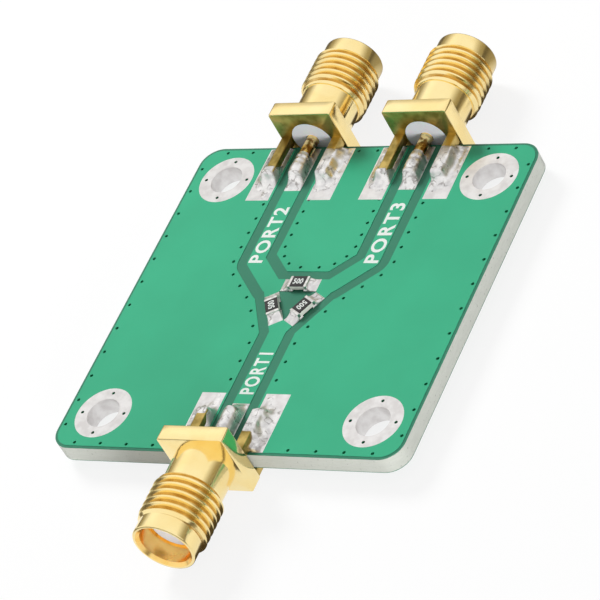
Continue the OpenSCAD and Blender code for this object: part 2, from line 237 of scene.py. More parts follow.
@dataclass(frozen=True)
class MottledMetal(Finish):
    """A bare metal skin whose colour, gloss and level vary a little from place to place."""

    light: str
    dark: str
    # Roughness where the metal is light and where it is dark
    roughness: tuple[float, float]
    # Width of a patch, and the height and width of the fine unevenness
    patch: float
    bump: float
    grain: tuple[float, float, float]
    # Noise values at the dark and the light end of a patch, for its colour and for its gloss
    tone_ends: ClassVar[tuple[float, float]] = (0.36, 0.62)
    gloss_ends: ClassVar[tuple[float, float]] = (0.35, 0.65)
    patch_detail: ClassVar[float] = 4.0
    bump_strength: ClassVar[float] = 0.5

    def paint(self, tree: bpy.types.NodeTree, shader: bpy.types.Node) -> None:
        """Patches drive colour and gloss, and a finer stretched grain drives the bump.

        Args:
            tree: The material's node tree.
            shader: Its shader.
        """
        place = add_node(tree, "ShaderNodeTexCoord").outputs["Object"]
        patches = add_node(
            tree,
            "ShaderNodeTexNoise",
            {"Vector": place, "Scale": per_metre(self.patch), "Detail": self.patch_detail},
        ).outputs["Fac"]
        ramp = add_node(tree, "ShaderNodeValToRGB", {"Fac": patches})
        for stop, spot, colour in zip(ramp.color_ramp.elements, self.tone_ends, (self.dark, self.light)):
            stop.position = spot
            stop.color = to_linear(colour)
        low, high = self.gloss_ends
        shiny, dull = self.roughness
        gloss = add_node(
            tree,
            "ShaderNodeMapRange",
            {"Value": patches, "From Min": low, "From Max": high, "To Min": dull, "To Max": shiny},
        )
        stretched = add_node(
            tree, "ShaderNodeMapping", {"Vector": place, "Scale": [per_metre(size) for size in self.grain]}
        )
        fine = add_node(tree, "ShaderNodeTexNoise", {"Vector": stretched.outputs["Vector"], "Scale": 1.0})
        level = add_node(
            tree,
            "ShaderNodeBump",
            {"Height": fine.outputs["Fac"], "Strength": self.bump_strength, "Distance": self.bump * MM},
        )
        tree.links.new(ramp.outputs["Color"], shader.inputs["Base Color"])
        tree.links.new(gloss.outputs["Result"], shader.inputs["Roughness"])
        tree.links.new(level.outputs["Normal"], shader.inputs["Normal"])
        shader.inputs["Metallic"].default_value = 1.0


@dataclass(frozen=True)
class FluxedMetal(MottledMetal):
    """A metal on which soldering has left dried flux: drops on one stretch, broken lines anywhere."""

    stain: str
    # Distances from the board's middle at which drops begin and are thick, and the share of the lines
    stretch: tuple[float, float]
    lines: float
    # Width of a drop and the noise values at its rim and inside it
    drop: ClassVar[float] = 0.5
    drop_detail: ClassVar[float] = 3.0
    drop_ends: ClassVar[tuple[float, float]] = (0.38, 0.56)
    # Width of the lumps between which the lines run, the noise value there and how far from it a line ends
    lump: ClassVar[float] = 1.3
    lump_detail: ClassVar[float] = 2.0
    line_value: ClassVar[float] = 0.5
    line_reach: ClassVar[float] = 0.035

    def paint(self, tree: bpy.types.NodeTree, shader: bpy.types.Node) -> None:
        """Mixes the stain in as drops on the stretch and as lines that the drops' pattern breaks up.

        Args:
            tree: The material's node tree.
            shader: Its shader.
        """
        super().paint(tree, shader)
        place = add_node(tree, "ShaderNodeTexCoord").outputs["Object"]
        along = add_node(tree, "ShaderNodeSeparateXYZ", {"Vector": place}).outputs["Y"]
        away = add_node(tree, "ShaderNodeMath", {0: along}, operation="ABSOLUTE")
        begin, full = self.stretch
        thick = add_node(
            tree,
            "ShaderNodeMapRange",
            {"Value": away.outputs[0], "From Min": begin * MM, "From Max": full * MM},
        ).outputs["Result"]
        drops = add_node(
            tree,
            "ShaderNodeTexNoise",
            {"Vector": place, "Scale": per_metre(self.drop), "Detail": self.drop_detail},
        ).outputs["Fac"]
        rim, inside = self.drop_ends
        spots = add_node(
            tree, "ShaderNodeMapRange", {"Value": drops, "From Min": rim, "From Max": inside}
        ).outputs["Result"]
        dropped = add_node(tree, "ShaderNodeMath", {0: thick, 1: spots}, operation="MULTIPLY")
        lumpy = add_node(
            tree,
            "ShaderNodeTexNoise",
            {"Vector": place, "Scale": per_metre(self.lump), "Detail": self.lump_detail},
        ).outputs["Fac"]
        middle = add_node(tree, "ShaderNodeMath", {0: lumpy, 1: self.line_value}, operation="SUBTRACT")
        beside = add_node(tree, "ShaderNodeMath", {0: middle.outputs[0]}, operation="ABSOLUTE")
        line = add_node(
            tree,
            "ShaderNodeMapRange",
            {"Value": beside.outputs[0], "From Min": self.line_reach, "From Max": 0.0, "To Max": self.lines},
        ).outputs["Result"]
        lined = add_node(tree, "ShaderNodeMath", {0: line, 1: spots}, operation="MULTIPLY")
        share = add_node(
            tree, "ShaderNodeMath", {0: dropped.outputs[0], 1: lined.outputs[0]}, operation="MAXIMUM"
        )
        clean = shader.inputs["Base Color"].links[0].from_socket
        mixed = add_node(
            tree,
            "ShaderNodeMix",
            {MIX_SHARE: share.outputs[0], MIX_FROM: clean, MIX_TO: to_linear(self.stain)},
            data_type="RGBA",
        )
        tree.links.new(mixed.outputs[MIX_RESULT], shader.inputs["Base Color"])


@dataclass(frozen=True)
class PlainBody(Finish):
    """A solid plastic, ceramic or ink with a faint unevenness of tone and level."""

    light: str
    dark: str
    roughness: float
    ior: float
    grain: float
    bump: float
    subsurface: float = 0.0
    grain_detail: ClassVar[float] = 5.0
    bump_strength: ClassVar[float] = 0.4
    # How far light spreads inside
    light_reach: ClassVar[float] = 0.3

    def paint(self, tree: bpy.types.NodeTree, shader: bpy.types.Node) -> None:
        """One noise at the grain's size drives tone and bump.

        Args:
            tree: The material's node tree.
            shader: Its shader.
        """
        place = add_node(tree, "ShaderNodeTexCoord").outputs["Object"]
        grain = add_node(
            tree,
            "ShaderNodeTexNoise",
            {"Vector": place, "Scale": per_metre(self.grain), "Detail": self.grain_detail},
        ).outputs["Fac"]
        tone = add_node(
            tree,
            "ShaderNodeMix",
            {MIX_SHARE: grain, MIX_FROM: to_linear(self.dark), MIX_TO: to_linear(self.light)},
            data_type="RGBA",
        )
        level = add_node(
            tree,
            "ShaderNodeBump",
            {"Height": grain, "Strength": self.bump_strength, "Distance": self.bump * MM},
        )
        tree.links.new(tone.outputs[MIX_RESULT], shader.inputs["Base Color"])
        tree.links.new(level.outputs["Normal"], shader.inputs["Normal"])
        shader.inputs["Roughness"].default_value = self.roughness
        shader.inputs["IOR"].default_value = self.ior
        shader.inputs["Subsurface Weight"].default_value = self.subsurface
        shader.inputs["Subsurface Scale"].default_value = self.light_reach * MM


@dataclass(frozen=True)
class SolderMask(Finish):
    """Green lacquer: pale over the copper, deep where it lies straight on the laminate."""

    over_copper: str
    over_laminate: str
    step: str
    # Height of the board's middle plane, and distances from it of lacquer on copper and on laminate
    middle: float
    copper_level: float
    gap_level: float
    # Places of laminate, step and copper on the way from the one level to the other
    level_stops: ClassVar[tuple[float, float, float]] = (0.2, 0.5, 0.8)
    # Lacquer pools in patches of some millimetres, and its skin waves at a few tenths
    pool: ClassVar[float] = 7.0
    pool_detail: ClassVar[float] = 3.0
    pool_ends: ClassVar[tuple[float, float]] = (0.3, 0.7)
    pool_tones: ClassVar[tuple[float, float]] = (0.95, 1.05)
    wave: ClassVar[float] = 0.35
    wave_detail: ClassVar[float] = 2.0
    wave_height: ClassVar[float] = 0.006
    bump_strength: ClassVar[float] = 0.3
    roughness: ClassVar[float] = 0.38
    ior: ClassVar[float] = 1.5
    specular: ClassVar[float] = 0.25

    def paint(self, tree: bpy.types.NodeTree, shader: bpy.types.Node) -> None:
        """The height above the board's middle plane tells copper from bare laminate.

        Args:
            tree: The material's node tree.
            shader: Its shader.
        """
        place = add_node(tree, "ShaderNodeTexCoord").outputs["Object"]
        height = add_node(tree, "ShaderNodeSeparateXYZ", {"Vector": place}).outputs["Z"]
        offset = add_node(tree, "ShaderNodeMath", {0: height, 1: self.middle * MM}, operation="SUBTRACT")
        away = add_node(tree, "ShaderNodeMath", {0: offset.outputs[0]}, operation="ABSOLUTE")
        share = add_node(
            tree,
            "ShaderNodeMapRange",
            {"Value": away.outputs[0], "From Min": self.gap_level * MM, "From Max": self.copper_level * MM},
        )
        ramp = add_node(tree, "ShaderNodeValToRGB", {"Fac": share.outputs["Result"]})
        ramp.color_ramp.elements.new(self.level_stops[1])
        # The step's paler green is a painted highlight along the copper's edge
        greens = (self.over_laminate, self.step, self.over_copper)
        for stop, spot, colour in zip(ramp.color_ramp.elements, self.level_stops, greens):
            stop.position = spot
            stop.color = to_linear(colour)
        pools = add_node(
            tree,
            "ShaderNodeTexNoise",
            {"Vector": place, "Scale": per_metre(self.pool), "Detail": self.pool_detail},
        ).outputs["Fac"]
        low, high = self.pool_ends
        deep, pale = self.pool_tones
        value = add_node(
            tree,
            "ShaderNodeMapRange",
            {"Value": pools, "From Min": low, "From Max": high, "To Min": deep, "To Max": pale},
        )
        tone = add_node(
            tree,
            "ShaderNodeHueSaturation",
            {"Color": ramp.outputs["Color"], "Value": value.outputs["Result"]},
        )
        waves = add_node(
            tree,
            "ShaderNodeTexNoise",
            {"Vector": place, "Scale": per_metre(self.wave), "Detail": self.wave_detail},
        ).outputs["Fac"]
        level = add_node(
            tree,
            "ShaderNodeBump",
            {"Height": waves, "Strength": self.bump_strength, "Distance": self.wave_height * MM},
        )
        tree.links.new(tone.outputs["Color"], shader.inputs["Base Color"])
        tree.links.new(level.outputs["Normal"], shader.inputs["Normal"])
        shader.inputs["Roughness"].default_value = self.roughness
        shader.inputs["IOR"].default_value = self.ior
        shader.inputs["Specular IOR Level"].default_value = self.specular


@dataclass(frozen=True)
class CutLaminate(Finish):
    """The milled edge of a glass-epoxy board: pale resin with layers of glass cloth."""

    resin: str
    glass: str
    shadow: str
    # Thickness of a layer of cloth, width of a bundle of its fibres and width of the bundle's broken end
    ply: float
    bundle: float
    fibre: float
    ply_detail: ClassVar[float] = 3.0
    fibre_detail: ClassVar[float] = 4.0
    # Noise values at the rim and the bottom of a pit, and how deep the pits are
    pit_ends: ClassVar[tuple[float, float]] = (0.62, 0.75)
    pit_depth: ClassVar[float] = 0.02
    bump_strength: ClassVar[float] = 0.6
    roughness: ClassVar[float] = 0.7
    ior: ClassVar[float] = 1.52

    def paint(self, tree: bpy.types.NodeTree, shader: bpy.types.Node) -> None:
        """Layers along Z, broken up by the ends of the fibre bundles.

        Args:
            tree: The material's node tree.
            shader: Its shader.
        """
        place = add_node(tree, "ShaderNodeTexCoord").outputs["Object"]
        flat = add_node(
            tree,
            "ShaderNodeMapping",
            {"Vector": place, "Scale": [per_metre(size) for size in (self.bundle, self.bundle, self.ply)]},
        )
        plies = add_node(
            tree,
            "ShaderNodeTexNoise",
            {"Vector": flat.outputs["Vector"], "Scale": 1.0, "Detail": self.ply_detail},
        ).outputs["Fac"]
        tone = add_node(
            tree,
            "ShaderNodeMix",
            {MIX_SHARE: plies, MIX_FROM: to_linear(self.resin), MIX_TO: to_linear(self.glass)},
            data_type="RGBA",
        )
        ends = add_node(
            tree,
            "ShaderNodeTexNoise",
            {"Vector": place, "Scale": per_metre(self.fibre), "Detail": self.fibre_detail},
        ).outputs["Fac"]
        rim, bottom = self.pit_ends
        pits = add_node(
            tree, "ShaderNodeMapRange", {"Value": ends, "From Min": rim, "From Max": bottom}
        ).outputs["Result"]
        # Painted shade: the pits are darkened towards the shadow colour
        pit_shaded = add_node(
            tree,
            "ShaderNodeMix",
            {MIX_SHARE: pits, MIX_FROM: tone.outputs[MIX_RESULT], MIX_TO: to_linear(self.shadow)},
            data_type="RGBA",
        )
        level = add_node(
            tree,
            "ShaderNodeBump",
            {"Height": ends, "Strength": self.bump_strength, "Distance": self.pit_depth * MM},
        )
        tree.links.new(pit_shaded.outputs[MIX_RESULT], shader.inputs["Base Color"])
        tree.links.new(level.outputs["Normal"], shader.inputs["Normal"])
        shader.inputs["Roughness"].default_value = self.roughness
        shader.inputs["IOR"].default_value = self.ior


# Hard gold on turned brass: pale straw where it mirrors the light, deep orange where it mirrors itself.
# The turning marks here and below are drawn coarser than real ones, so that they show.
GOLD = MottledMetal(
    "gold_plate_on_brass", light="#FFEAAC", dark="#FDE39E", roughness=(0.12, 0.2),
    patch=2.5, bump=0.002, grain=(2.0, 0.12, 2.0),
)
# The same gold down in a bored mouth, where it is less polished and so duller; its warmer orange is a
# painted reflection of the gold mirroring itself in the bore
BORE_GOLD_WITH_PAINTED_REFLECTION = MottledMetal(
    "gold_plate_in_bore", light="#FFD886", dark="#F9CA6E", roughness=(0.2, 0.3),
    patch=1.5, bump=0.003, grain=(2.0, 0.1, 2.0),
)
# Gold at the foot of a thread: darker with painted shade for the deep groove, and satin
SHADED_ROOT_GOLD = MottledMetal(
    "gold_plate_in_thread_root", light="#EFCF8A", dark="#DDB86E", roughness=(0.22, 0.32),
    patch=1.0, bump=0.003, grain=(2.0, 0.1, 2.0),
)
# A contact's gold, with brown drops of flux where the iron was
PIN_GOLD = FluxedMetal(
    "gold_plate_with_flux_drops", light="#FFEAAC", dark="#FDE39E", roughness=(0.14, 0.22),
    patch=2.5, bump=0.002, grain=(2.0, 0.12, 2.0), stain="#7D5C2E", stretch=(18.3, 17.8), lines=0.0,
)
# Gold on the flange's face towards the board and on the legs: olive and satin, partly browned by dried flux
# from the soldering, partly painted shade and a painted reflection of the shaded board
STAINED_AND_SHADED_GOLD = MottledMetal(
    "flux_stained_gold", light="#CBB067", dark="#8F7A3C", roughness=(0.3, 0.42),
    patch=1.4, bump=0.004, grain=(0.6, 0.6, 0.6),
)
# Hot-air levelled tin: near-white and cloudy, with slow waves where it set
TIN = MottledMetal(
    "hot_levelled_tin", light="#EDEBEA", dark="#E2DFDE", roughness=(0.38, 0.52),
    patch=0.8, bump=0.008, grain=(0.5, 0.5, 0.5),
)
# Reflowed solder: brighter and smoother than the tin, with grey grains and broken lines of burnt flux
SOLDER = FluxedMetal(
    "reflowed_solder_with_flux", light="#F0EEEC", dark="#D6D4D4", roughness=(0.26, 0.42),
    patch=0.6, bump=0.012, grain=(0.35, 0.35, 0.35), stain="#54473C", stretch=(15.0, 19.5), lines=0.65,
)
# Plated nickel cap, dipped in tin: bright, with small grey patches
CAP = MottledMetal(
    "tinned_nickel_cap", light="#F0EEEA", dark="#CFCDCA", roughness=(0.25, 0.38),
    patch=0.3, bump=0.006, grain=(0.2, 0.2, 0.2),
)
# Rolled copper foil, seen only at its cut edge: salmon and satin
FOIL = MottledMetal(
    "rolled_copper_foil", light="#D98F62", dark="#B87048", roughness=(0.3, 0.45),
    patch=0.6, bump=0.004, grain=(0.1, 1.0, 0.1),
)
# Milled glass epoxy: a matt grey-white edge with faint layers and small pits darkened with painted shade
LAMINATE = CutLaminate(
    "milled_glass_epoxy_edge", resin="#C4C8BE", glass="#D8DAD3", shadow="#9DA297",
    ply=0.16, bundle=1.2, fibre=0.25,
)
# Copper barrel under a flooded coat of lacquer: green, and almost black down in the bore
BARREL = PlainBody(
    "lacquered_via_barrel", light="#2FA878", dark="#1F8A60", roughness=0.35, ior=1.5, grain=0.2, bump=0.01
)
# Sintered fluoropolymer: waxy cold white that light enters a little
PTFE = PlainBody(
    "turned_ptfe", light="#F6F6FA", dark="#EAEBF1", roughness=0.45, ior=1.35, grain=0.6, bump=0.01,
    subsurface=0.15,
)
# Fired alumina: hard matt white
ALUMINA = PlainBody(
    "fired_alumina", light="#F1EFE9", dark="#DDDAD2", roughness=0.6, ior=1.77, grain=0.12, bump=0.01
)
# Printed glass overcoat: black and semi-gloss
OVERCOAT = PlainBody(
    "black_glass_overcoat", light="#211D1D", dark="#131111", roughness=0.3, ior=1.5, grain=0.25, bump=0.01
)
# Screen-printed epoxy ink: flat white, a little uneven from the weave of the screen
INK = PlainBody(
    "white_legend_ink", light="#F4F6F2", dark="#DDE6E0", roughness=0.6, ior=1.5, grain=0.12, bump=0.008
)
SHELL_FINISHES = {
    ShellSkin.TURNED: GOLD,
    ShellSkin.BOARD_SIDE: STAINED_AND_SHADED_GOLD,
    ShellSkin.MOUTH: BORE_GOLD_WITH_PAINTED_REFLECTION,
    ShellSkin.THREAD_ROOT: SHADED_ROOT_GOLD,
}


@dataclass
class MeshDraft:
    """Points and faces of one piece, gathered in millimetres before a mesh is made of them."""

    points: list[np.ndarray] = field(default_factory=list)
    faces: list[list[int]] = field(default_factory=list)
    marks: list[int] = field(default_factory=list)
    count: int = 0
    # Place in the piece's list of finishes that new faces take
    mark: int = 0

    def add(self, points: np.ndarray) -> int:
        """Adds points.

        Args:
            points: Places in millimetres, in an array of any shape that ends in coordinates.

        Returns:
            The number of the first one.
        """
        flat = np.asarray(points, float).reshape(-1, 3)
        first = self.count
        self.points.append(flat)
        self.count += len(flat)
        return first

    def join(self, corners: list[int]) -> None:
        """Adds one face in the present finish."""
        self.faces.append(corners)
        self.marks.append(self.mark)

    def skin(self, grid: np.ndarray, around: bool = False) -> None:
        """Covers a grid of points with four-sided faces.

        Args:
            grid: Points as rows, columns and coordinates.
            around: Whether each row closes on itself.
        """
        rows, columns = grid.shape[:2]
        first = self.add(grid)
        for i in range(rows - 1):
            for j in range(columns if around else columns - 1):
                k = (j + 1) % columns
                low, high = first + i * columns, first + (i + 1) * columns
                self.join([low + j, low + k, high + k, high + j])

    def cap(self, loop: np.ndarray) -> None:
        """Closes a loop of points with one face."""
        first = self.add(loop)
        self.join(list(range(first, first + len(loop))))

    def lofted(self, loops: np.ndarray) -> None:
        """Skins a stack of closed loops and caps both ends.

        Args:
            loops: Points as loops, places on each loop and coordinates.
        """
        self.skin(loops, around=True)
        self.cap(loops[0])
        self.cap(loops[-1])

    def mesh(self, name: str) -> bpy.types.Mesh:
        """Makes a mesh in metres of what was gathered.

        Args:
            name: The mesh's name.

        Returns:
            The new mesh, whose faces carry their marks as places of materials.
        """
        mesh = bpy.data.meshes.new(name)
        mesh.from_pydata((np.concatenate(self.points) * MM).tolist(), [], self.faces)
        mesh.polygons.foreach_set("material_index", self.marks)
        return mesh

    def piece(self, name: str, slot: str, finishes: list[Finish], replaced: Iterable[str] = ()) -> None:
        """Makes the object, dresses it and lets it ride on the part. See finish_piece for the arguments."""
        finish_piece(self.mesh(name), name, finishes, replaced)


def finish_piece(
    mesh: bpy.types.Mesh, name: str, finishes: list[Finish], replaced: Iterable[str] = ()
) -> None:
    """Cleans a mesh in metres, shades it and puts it on the part.

    Args:
        mesh: The mesh, in the part's frame.
        name: The piece's name.
        finishes: The surface finishes, in the order of the marks.
        replaced: CAD nodes that the piece stands for.
    """
    for finish in finishes:
        mesh.materials.append(material_of(finish))
    work = bmesh.new()
    work.from_mesh(mesh)
    bmesh.ops.remove_doubles(work, verts=work.verts, dist=MERGE * MM)
    bmesh.ops.dissolve_degenerate(work, edges=work.edges, dist=MERGE * MM)
    bmesh.ops.recalc_face_normals(work, faces=work.faces)
    work.to_mesh(mesh)
    work.free()
    mesh.shade_smooth()
    mesh.set_sharp_from_angle(angle=math.radians(CREASE_DEG))
    piece = put_in_scene(name, mesh)
    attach(piece, BODY)
    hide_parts(*replaced)
    LOG.info("%s: %d faces, %s", name, len(mesh.polygons), ", ".join(finish.name for finish in finishes))


def dress(node: str, finish: Finish) -> None:
    """Gives a CAD node a finish in all its material slots.

    Args:
        node: The node's name.
        finish: The finish.
    """
    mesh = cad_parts[node].data
    mesh.materials.clear()
    mesh.materials.append(material_of(finish))
    LOG.info("%s: from the solids, %s", node, finish.name)


def node_box(node: str) -> tuple[np.ndarray, np.ndarray]:
    """Lowest and highest corner of a CAD node in millimetres."""
    low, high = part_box(node)
    return np.array(low) / MM, np.array(high) / MM


def rounded_rectangle(
    width: float, height: float, radius: float, arc: int = 5, side: int = 1
) -> np.ndarray:
    """Points once round a rectangle with round corners, about its middle.

    Args:
        width: Size along the first axis.
        height: Size along the second axis.
        radius: Corner radius.
        arc: Points on each corner.
        side: Steps along each straight side.

    Returns:
        An array of two-dimensional points.
    """
    corners = []
    for turn, (sx, sy) in enumerate(((1, 1), (-1, 1), (-1, -1), (1, -1))):
        angles = math.pi / 2 * (turn + np.linspace(0, 1, arc))
        x = sx * (width / 2 - radius) + radius * np.cos(angles)
        y = sy * (height / 2 - radius) + radius * np.sin(angles)
        corners.append(np.stack([x, y], 1))
    points = []
    for here, after in zip(corners, corners[1:] + corners[:1]):
        points.append(here)
        points.append(here[-1] + (after[0] - here[-1]) * np.linspace(0, 1, side + 1)[1:-1, None])
    return np.concatenate(points)


def rounded_bar(low: Iterable[float], high: Iterable[float], radius: float, steps: int = 4) -> np.ndarray:
    """Loops of a box with every edge rounded, stacked along its second axis.

    Args:
        low: Lowest corner.
        high: Highest corner.
        radius: Radius of the edges.
        steps: Steps on each rounded end.

    Returns:
        An array of loops of points, ready to be lofted.
    """
    low, high = np.array(low, float), np.array(high, float)
    middle, size = (low + high) / 2, high - low
    bend = np.linspace(0, math.pi / 2, steps + 1)
    start = [(low[1] + radius - radius * math.cos(b), radius - radius * math.sin(b)) for b in bend]
    ends = start + [(low[1] + high[1] - place, inset) for place, inset in reversed(start)]
    loops = []
    for place, inset in ends:
        corner = max(radius - inset, radius / CORNER_PARTS)
        outline = rounded_rectangle(size[0] - 2 * inset, size[2] - 2 * inset, corner)
        loop = np.insert(outline, 1, 0.0, axis=1) + middle
        loop[:, 1] = place
        loops.append(loop)
    return np.array(loops)


@dataclass
class Board:
    """The printed board: laminate, foil, lacquer, vias and tinned pads, all shown from the solids."""

    over_copper: str = "#36AD82"
    over_laminate: str = "#337D62"
    # Paler green of the step off the copper's edge: a painted highlight
    step: str = "#4FA888"

    def __post_init__(self) -> None:
        """Reads the levels of the board's layers from the solids."""
        low, high = node_box("laminate")
        self.half_length = high[1]
        self.top = node_box("solder_mask_top")[1][2]
        self.bottom = node_box("solder_mask_bottom")[0][2]
        self.copper = node_box("ground_copper_top")
        self.middle = (low[2] + high[2]) / 2

    def level(self, face: Face) -> float:
        """Height of the lacquer and the pads on one face."""
        return self.top if face is Face.TOP else self.bottom

    def dress(self) -> None:
        """Gives each layer its finish."""
        foil = self.copper[1][2] - self.copper[0][2]
        # Sprayed and cured lacquer: semi-gloss green, with a paler rim where it runs down off the copper, a
        # painted highlight along that edge
        mask = SolderMask(
            "green_solder_mask_lacquer", self.over_copper, self.over_laminate, self.step,
            self.middle, self.top - self.middle, self.top - self.middle - foil,
        )
        dress("laminate", LAMINATE)
        for node in ("ground_copper_top", "ground_copper_bottom"):
            dress(node, FOIL)
        for port in Port:
            dress(f"strip_{port.value}", FOIL)
        for node in ("solder_mask_top", "solder_mask_bottom"):
            dress(node, mask)
        dress("stitching_vias", BARREL)
        for node in ("plated_mounting_holes", "pad_tinning_top", "pad_tinning_bottom"):
            dress(node, TIN)


@dataclass
class SolderPad:
    """One rectangular pad in the axes of a jack or a chip, with the solder that lies on it."""

    low: tuple[float, float]
    high: tuple[float, float]
    # Width of the rim over which solder thins out, depth of its foot below the pad's face, and the share
    # of that depth to which its top may dip
    rim: float = 0.3
    sink: float = 0.03
    dip: float = 0.9
    # Step of the grid, and the fewest steps along a side
    grid: float = 0.08
    fewest: int = 4
    # Places across and along the pad where the solder is steep, and how far round them the grid is fine
    steep: tuple[tuple[float, ...], tuple[float, ...]] = ((), ())
    fine_reach: float = 0.3
    fine_grid: float = 0.025

    def stations(self, axis: int) -> np.ndarray:
        """Places of the grid's lines along one axis.

        Args:
            axis: 0 across the pad, 1 along it.

        Returns:
            The places in rising order, to the micrometre.
        """
        low, high = self.low[axis], self.high[axis]
        lines = [np.linspace(low, high, max(self.fewest, round((high - low) / self.grid)) + 1)]
        for spot in self.steep[axis]:
            lines.append(np.arange(spot - self.fine_reach, spot + self.fine_reach, self.fine_grid))
        kept = np.concatenate(lines)
        return np.unique(kept[(kept >= low) & (kept <= high)].round(3))

    def flow(self, draft: MeshDraft, height: Heights, place: Placing) -> None:
        """Adds a closed skin of solder over the pad.

        Args:
            draft: The mesh to add to.
            height: Height of the solder above the pad for places across and along it.
            place: Turns pad places into the part's frame.
        """
        x, y = np.meshgrid(self.stations(0), self.stations(1))
        inside = np.minimum.reduce([x - self.low[0], self.high[0] - x, y - self.low[1], self.high[1] - y])
        thin = smooth_step(0, self.rim, inside)
        z = height(x, y) * np.sqrt(thin) - self.sink / 2 * (1 - thin)
        top = np.stack([x, y, np.maximum(z, -self.dip * self.sink)], -1)
        rim = np.concatenate([top[0, :-1], top[:-1, -1], top[-1, :0:-1], top[:0:-1, 0]])
        foot = rim.copy()
        foot[:, 2] = -self.sink
        draft.skin(place(top))
        draft.skin(place(np.stack([rim, foot])), around=True)
        draft.cap(place(foot))


@dataclass(frozen=True)
class LegJoint:
    """Form of the solder round a jack's legs."""

    # How far the legs on the -X and the +X side stay bare on top, from the board's edge, how far that
    # wanders from leg to leg, over what distance, and the length over which the solder climbs there
    bare: tuple[float, float] = (2.9, 0.9)
    wander: float = 0.8
    wander_lump: float = 1.7
    climb: float = 0.8
    # Thickness on the leg, rise in its middle, and share of the leg's height beside its bare top
    coat: float = 0.07
    crown: float = 0.04
    low_crest: float = 0.5
    # Widths of lumps and grains
    lump: float = 1.1
    grain: float = 0.5
    # Width of the fillet, what lumps add to it, what grains add to its height and from where on in full
    reach: float = 0.5
    reach_lumps: float = 0.16
    rough: float = 0.25
    rough_from: float = 0.3
    # Thickness of the film on the pad, what lumps and grains add, and from where on in full
    film: float = 0.06
    film_lumps: float = 0.06
    film_grains: float = 0.03
    film_from: float = 0.4
    # What the film loses far from the leg, between which distances, and what lumps add to these
    loss: float = 0.1
    loss_span: tuple[float, float] = (0.8, 1.8)
    loss_lumps: float = 0.5


@dataclass(frozen=True)
class PinJoint:
    """Form of the solder on the end of a jack's pin."""

    # Length of the pin that is wet, the last part of it over which the solder runs out, and how far
    # before and past the pin's end the solder turns from a coat to a slope
    wet_length: float = 2.7
    drying: float = 0.7
    before_end: float = 0.25
    past_end: float = 0.2
    # Distance from the pad's rim, depth of the foot below the pad's face, and half its width where it ends
    rim: float = 0.03
    sink: float = 0.03
    dry_foot: float = 0.45
    # Thickness of the coat, what lumps add to it, and how far it sinks into the pin where it ends
    coat: float = 0.1
    coat_lumps: float = 0.09
    dry_sink: float = 0.02
    # Widths of lumps and grains, their shares, and the shift at which the lumps are looked up
    lump: float = 1.0
    grain: float = 0.35
    lump_share: float = 0.7
    grain_share: float = 0.3
    lump_shift: float = 5.0
    # Share of the coat's radius past which its sides fall as a skirt, and how the skirt curves
    edge: float = 0.96
    skirt_power: float = 1.4
    # How the slope past the pin's end curves along and across, and the film that is left of it
    slope_power: float = 1.5
    side_power: float = 2.4
    film: float = 0.02
    # Points across a loop, and loops along the pin
    points: int = 33
    loops: int = 60


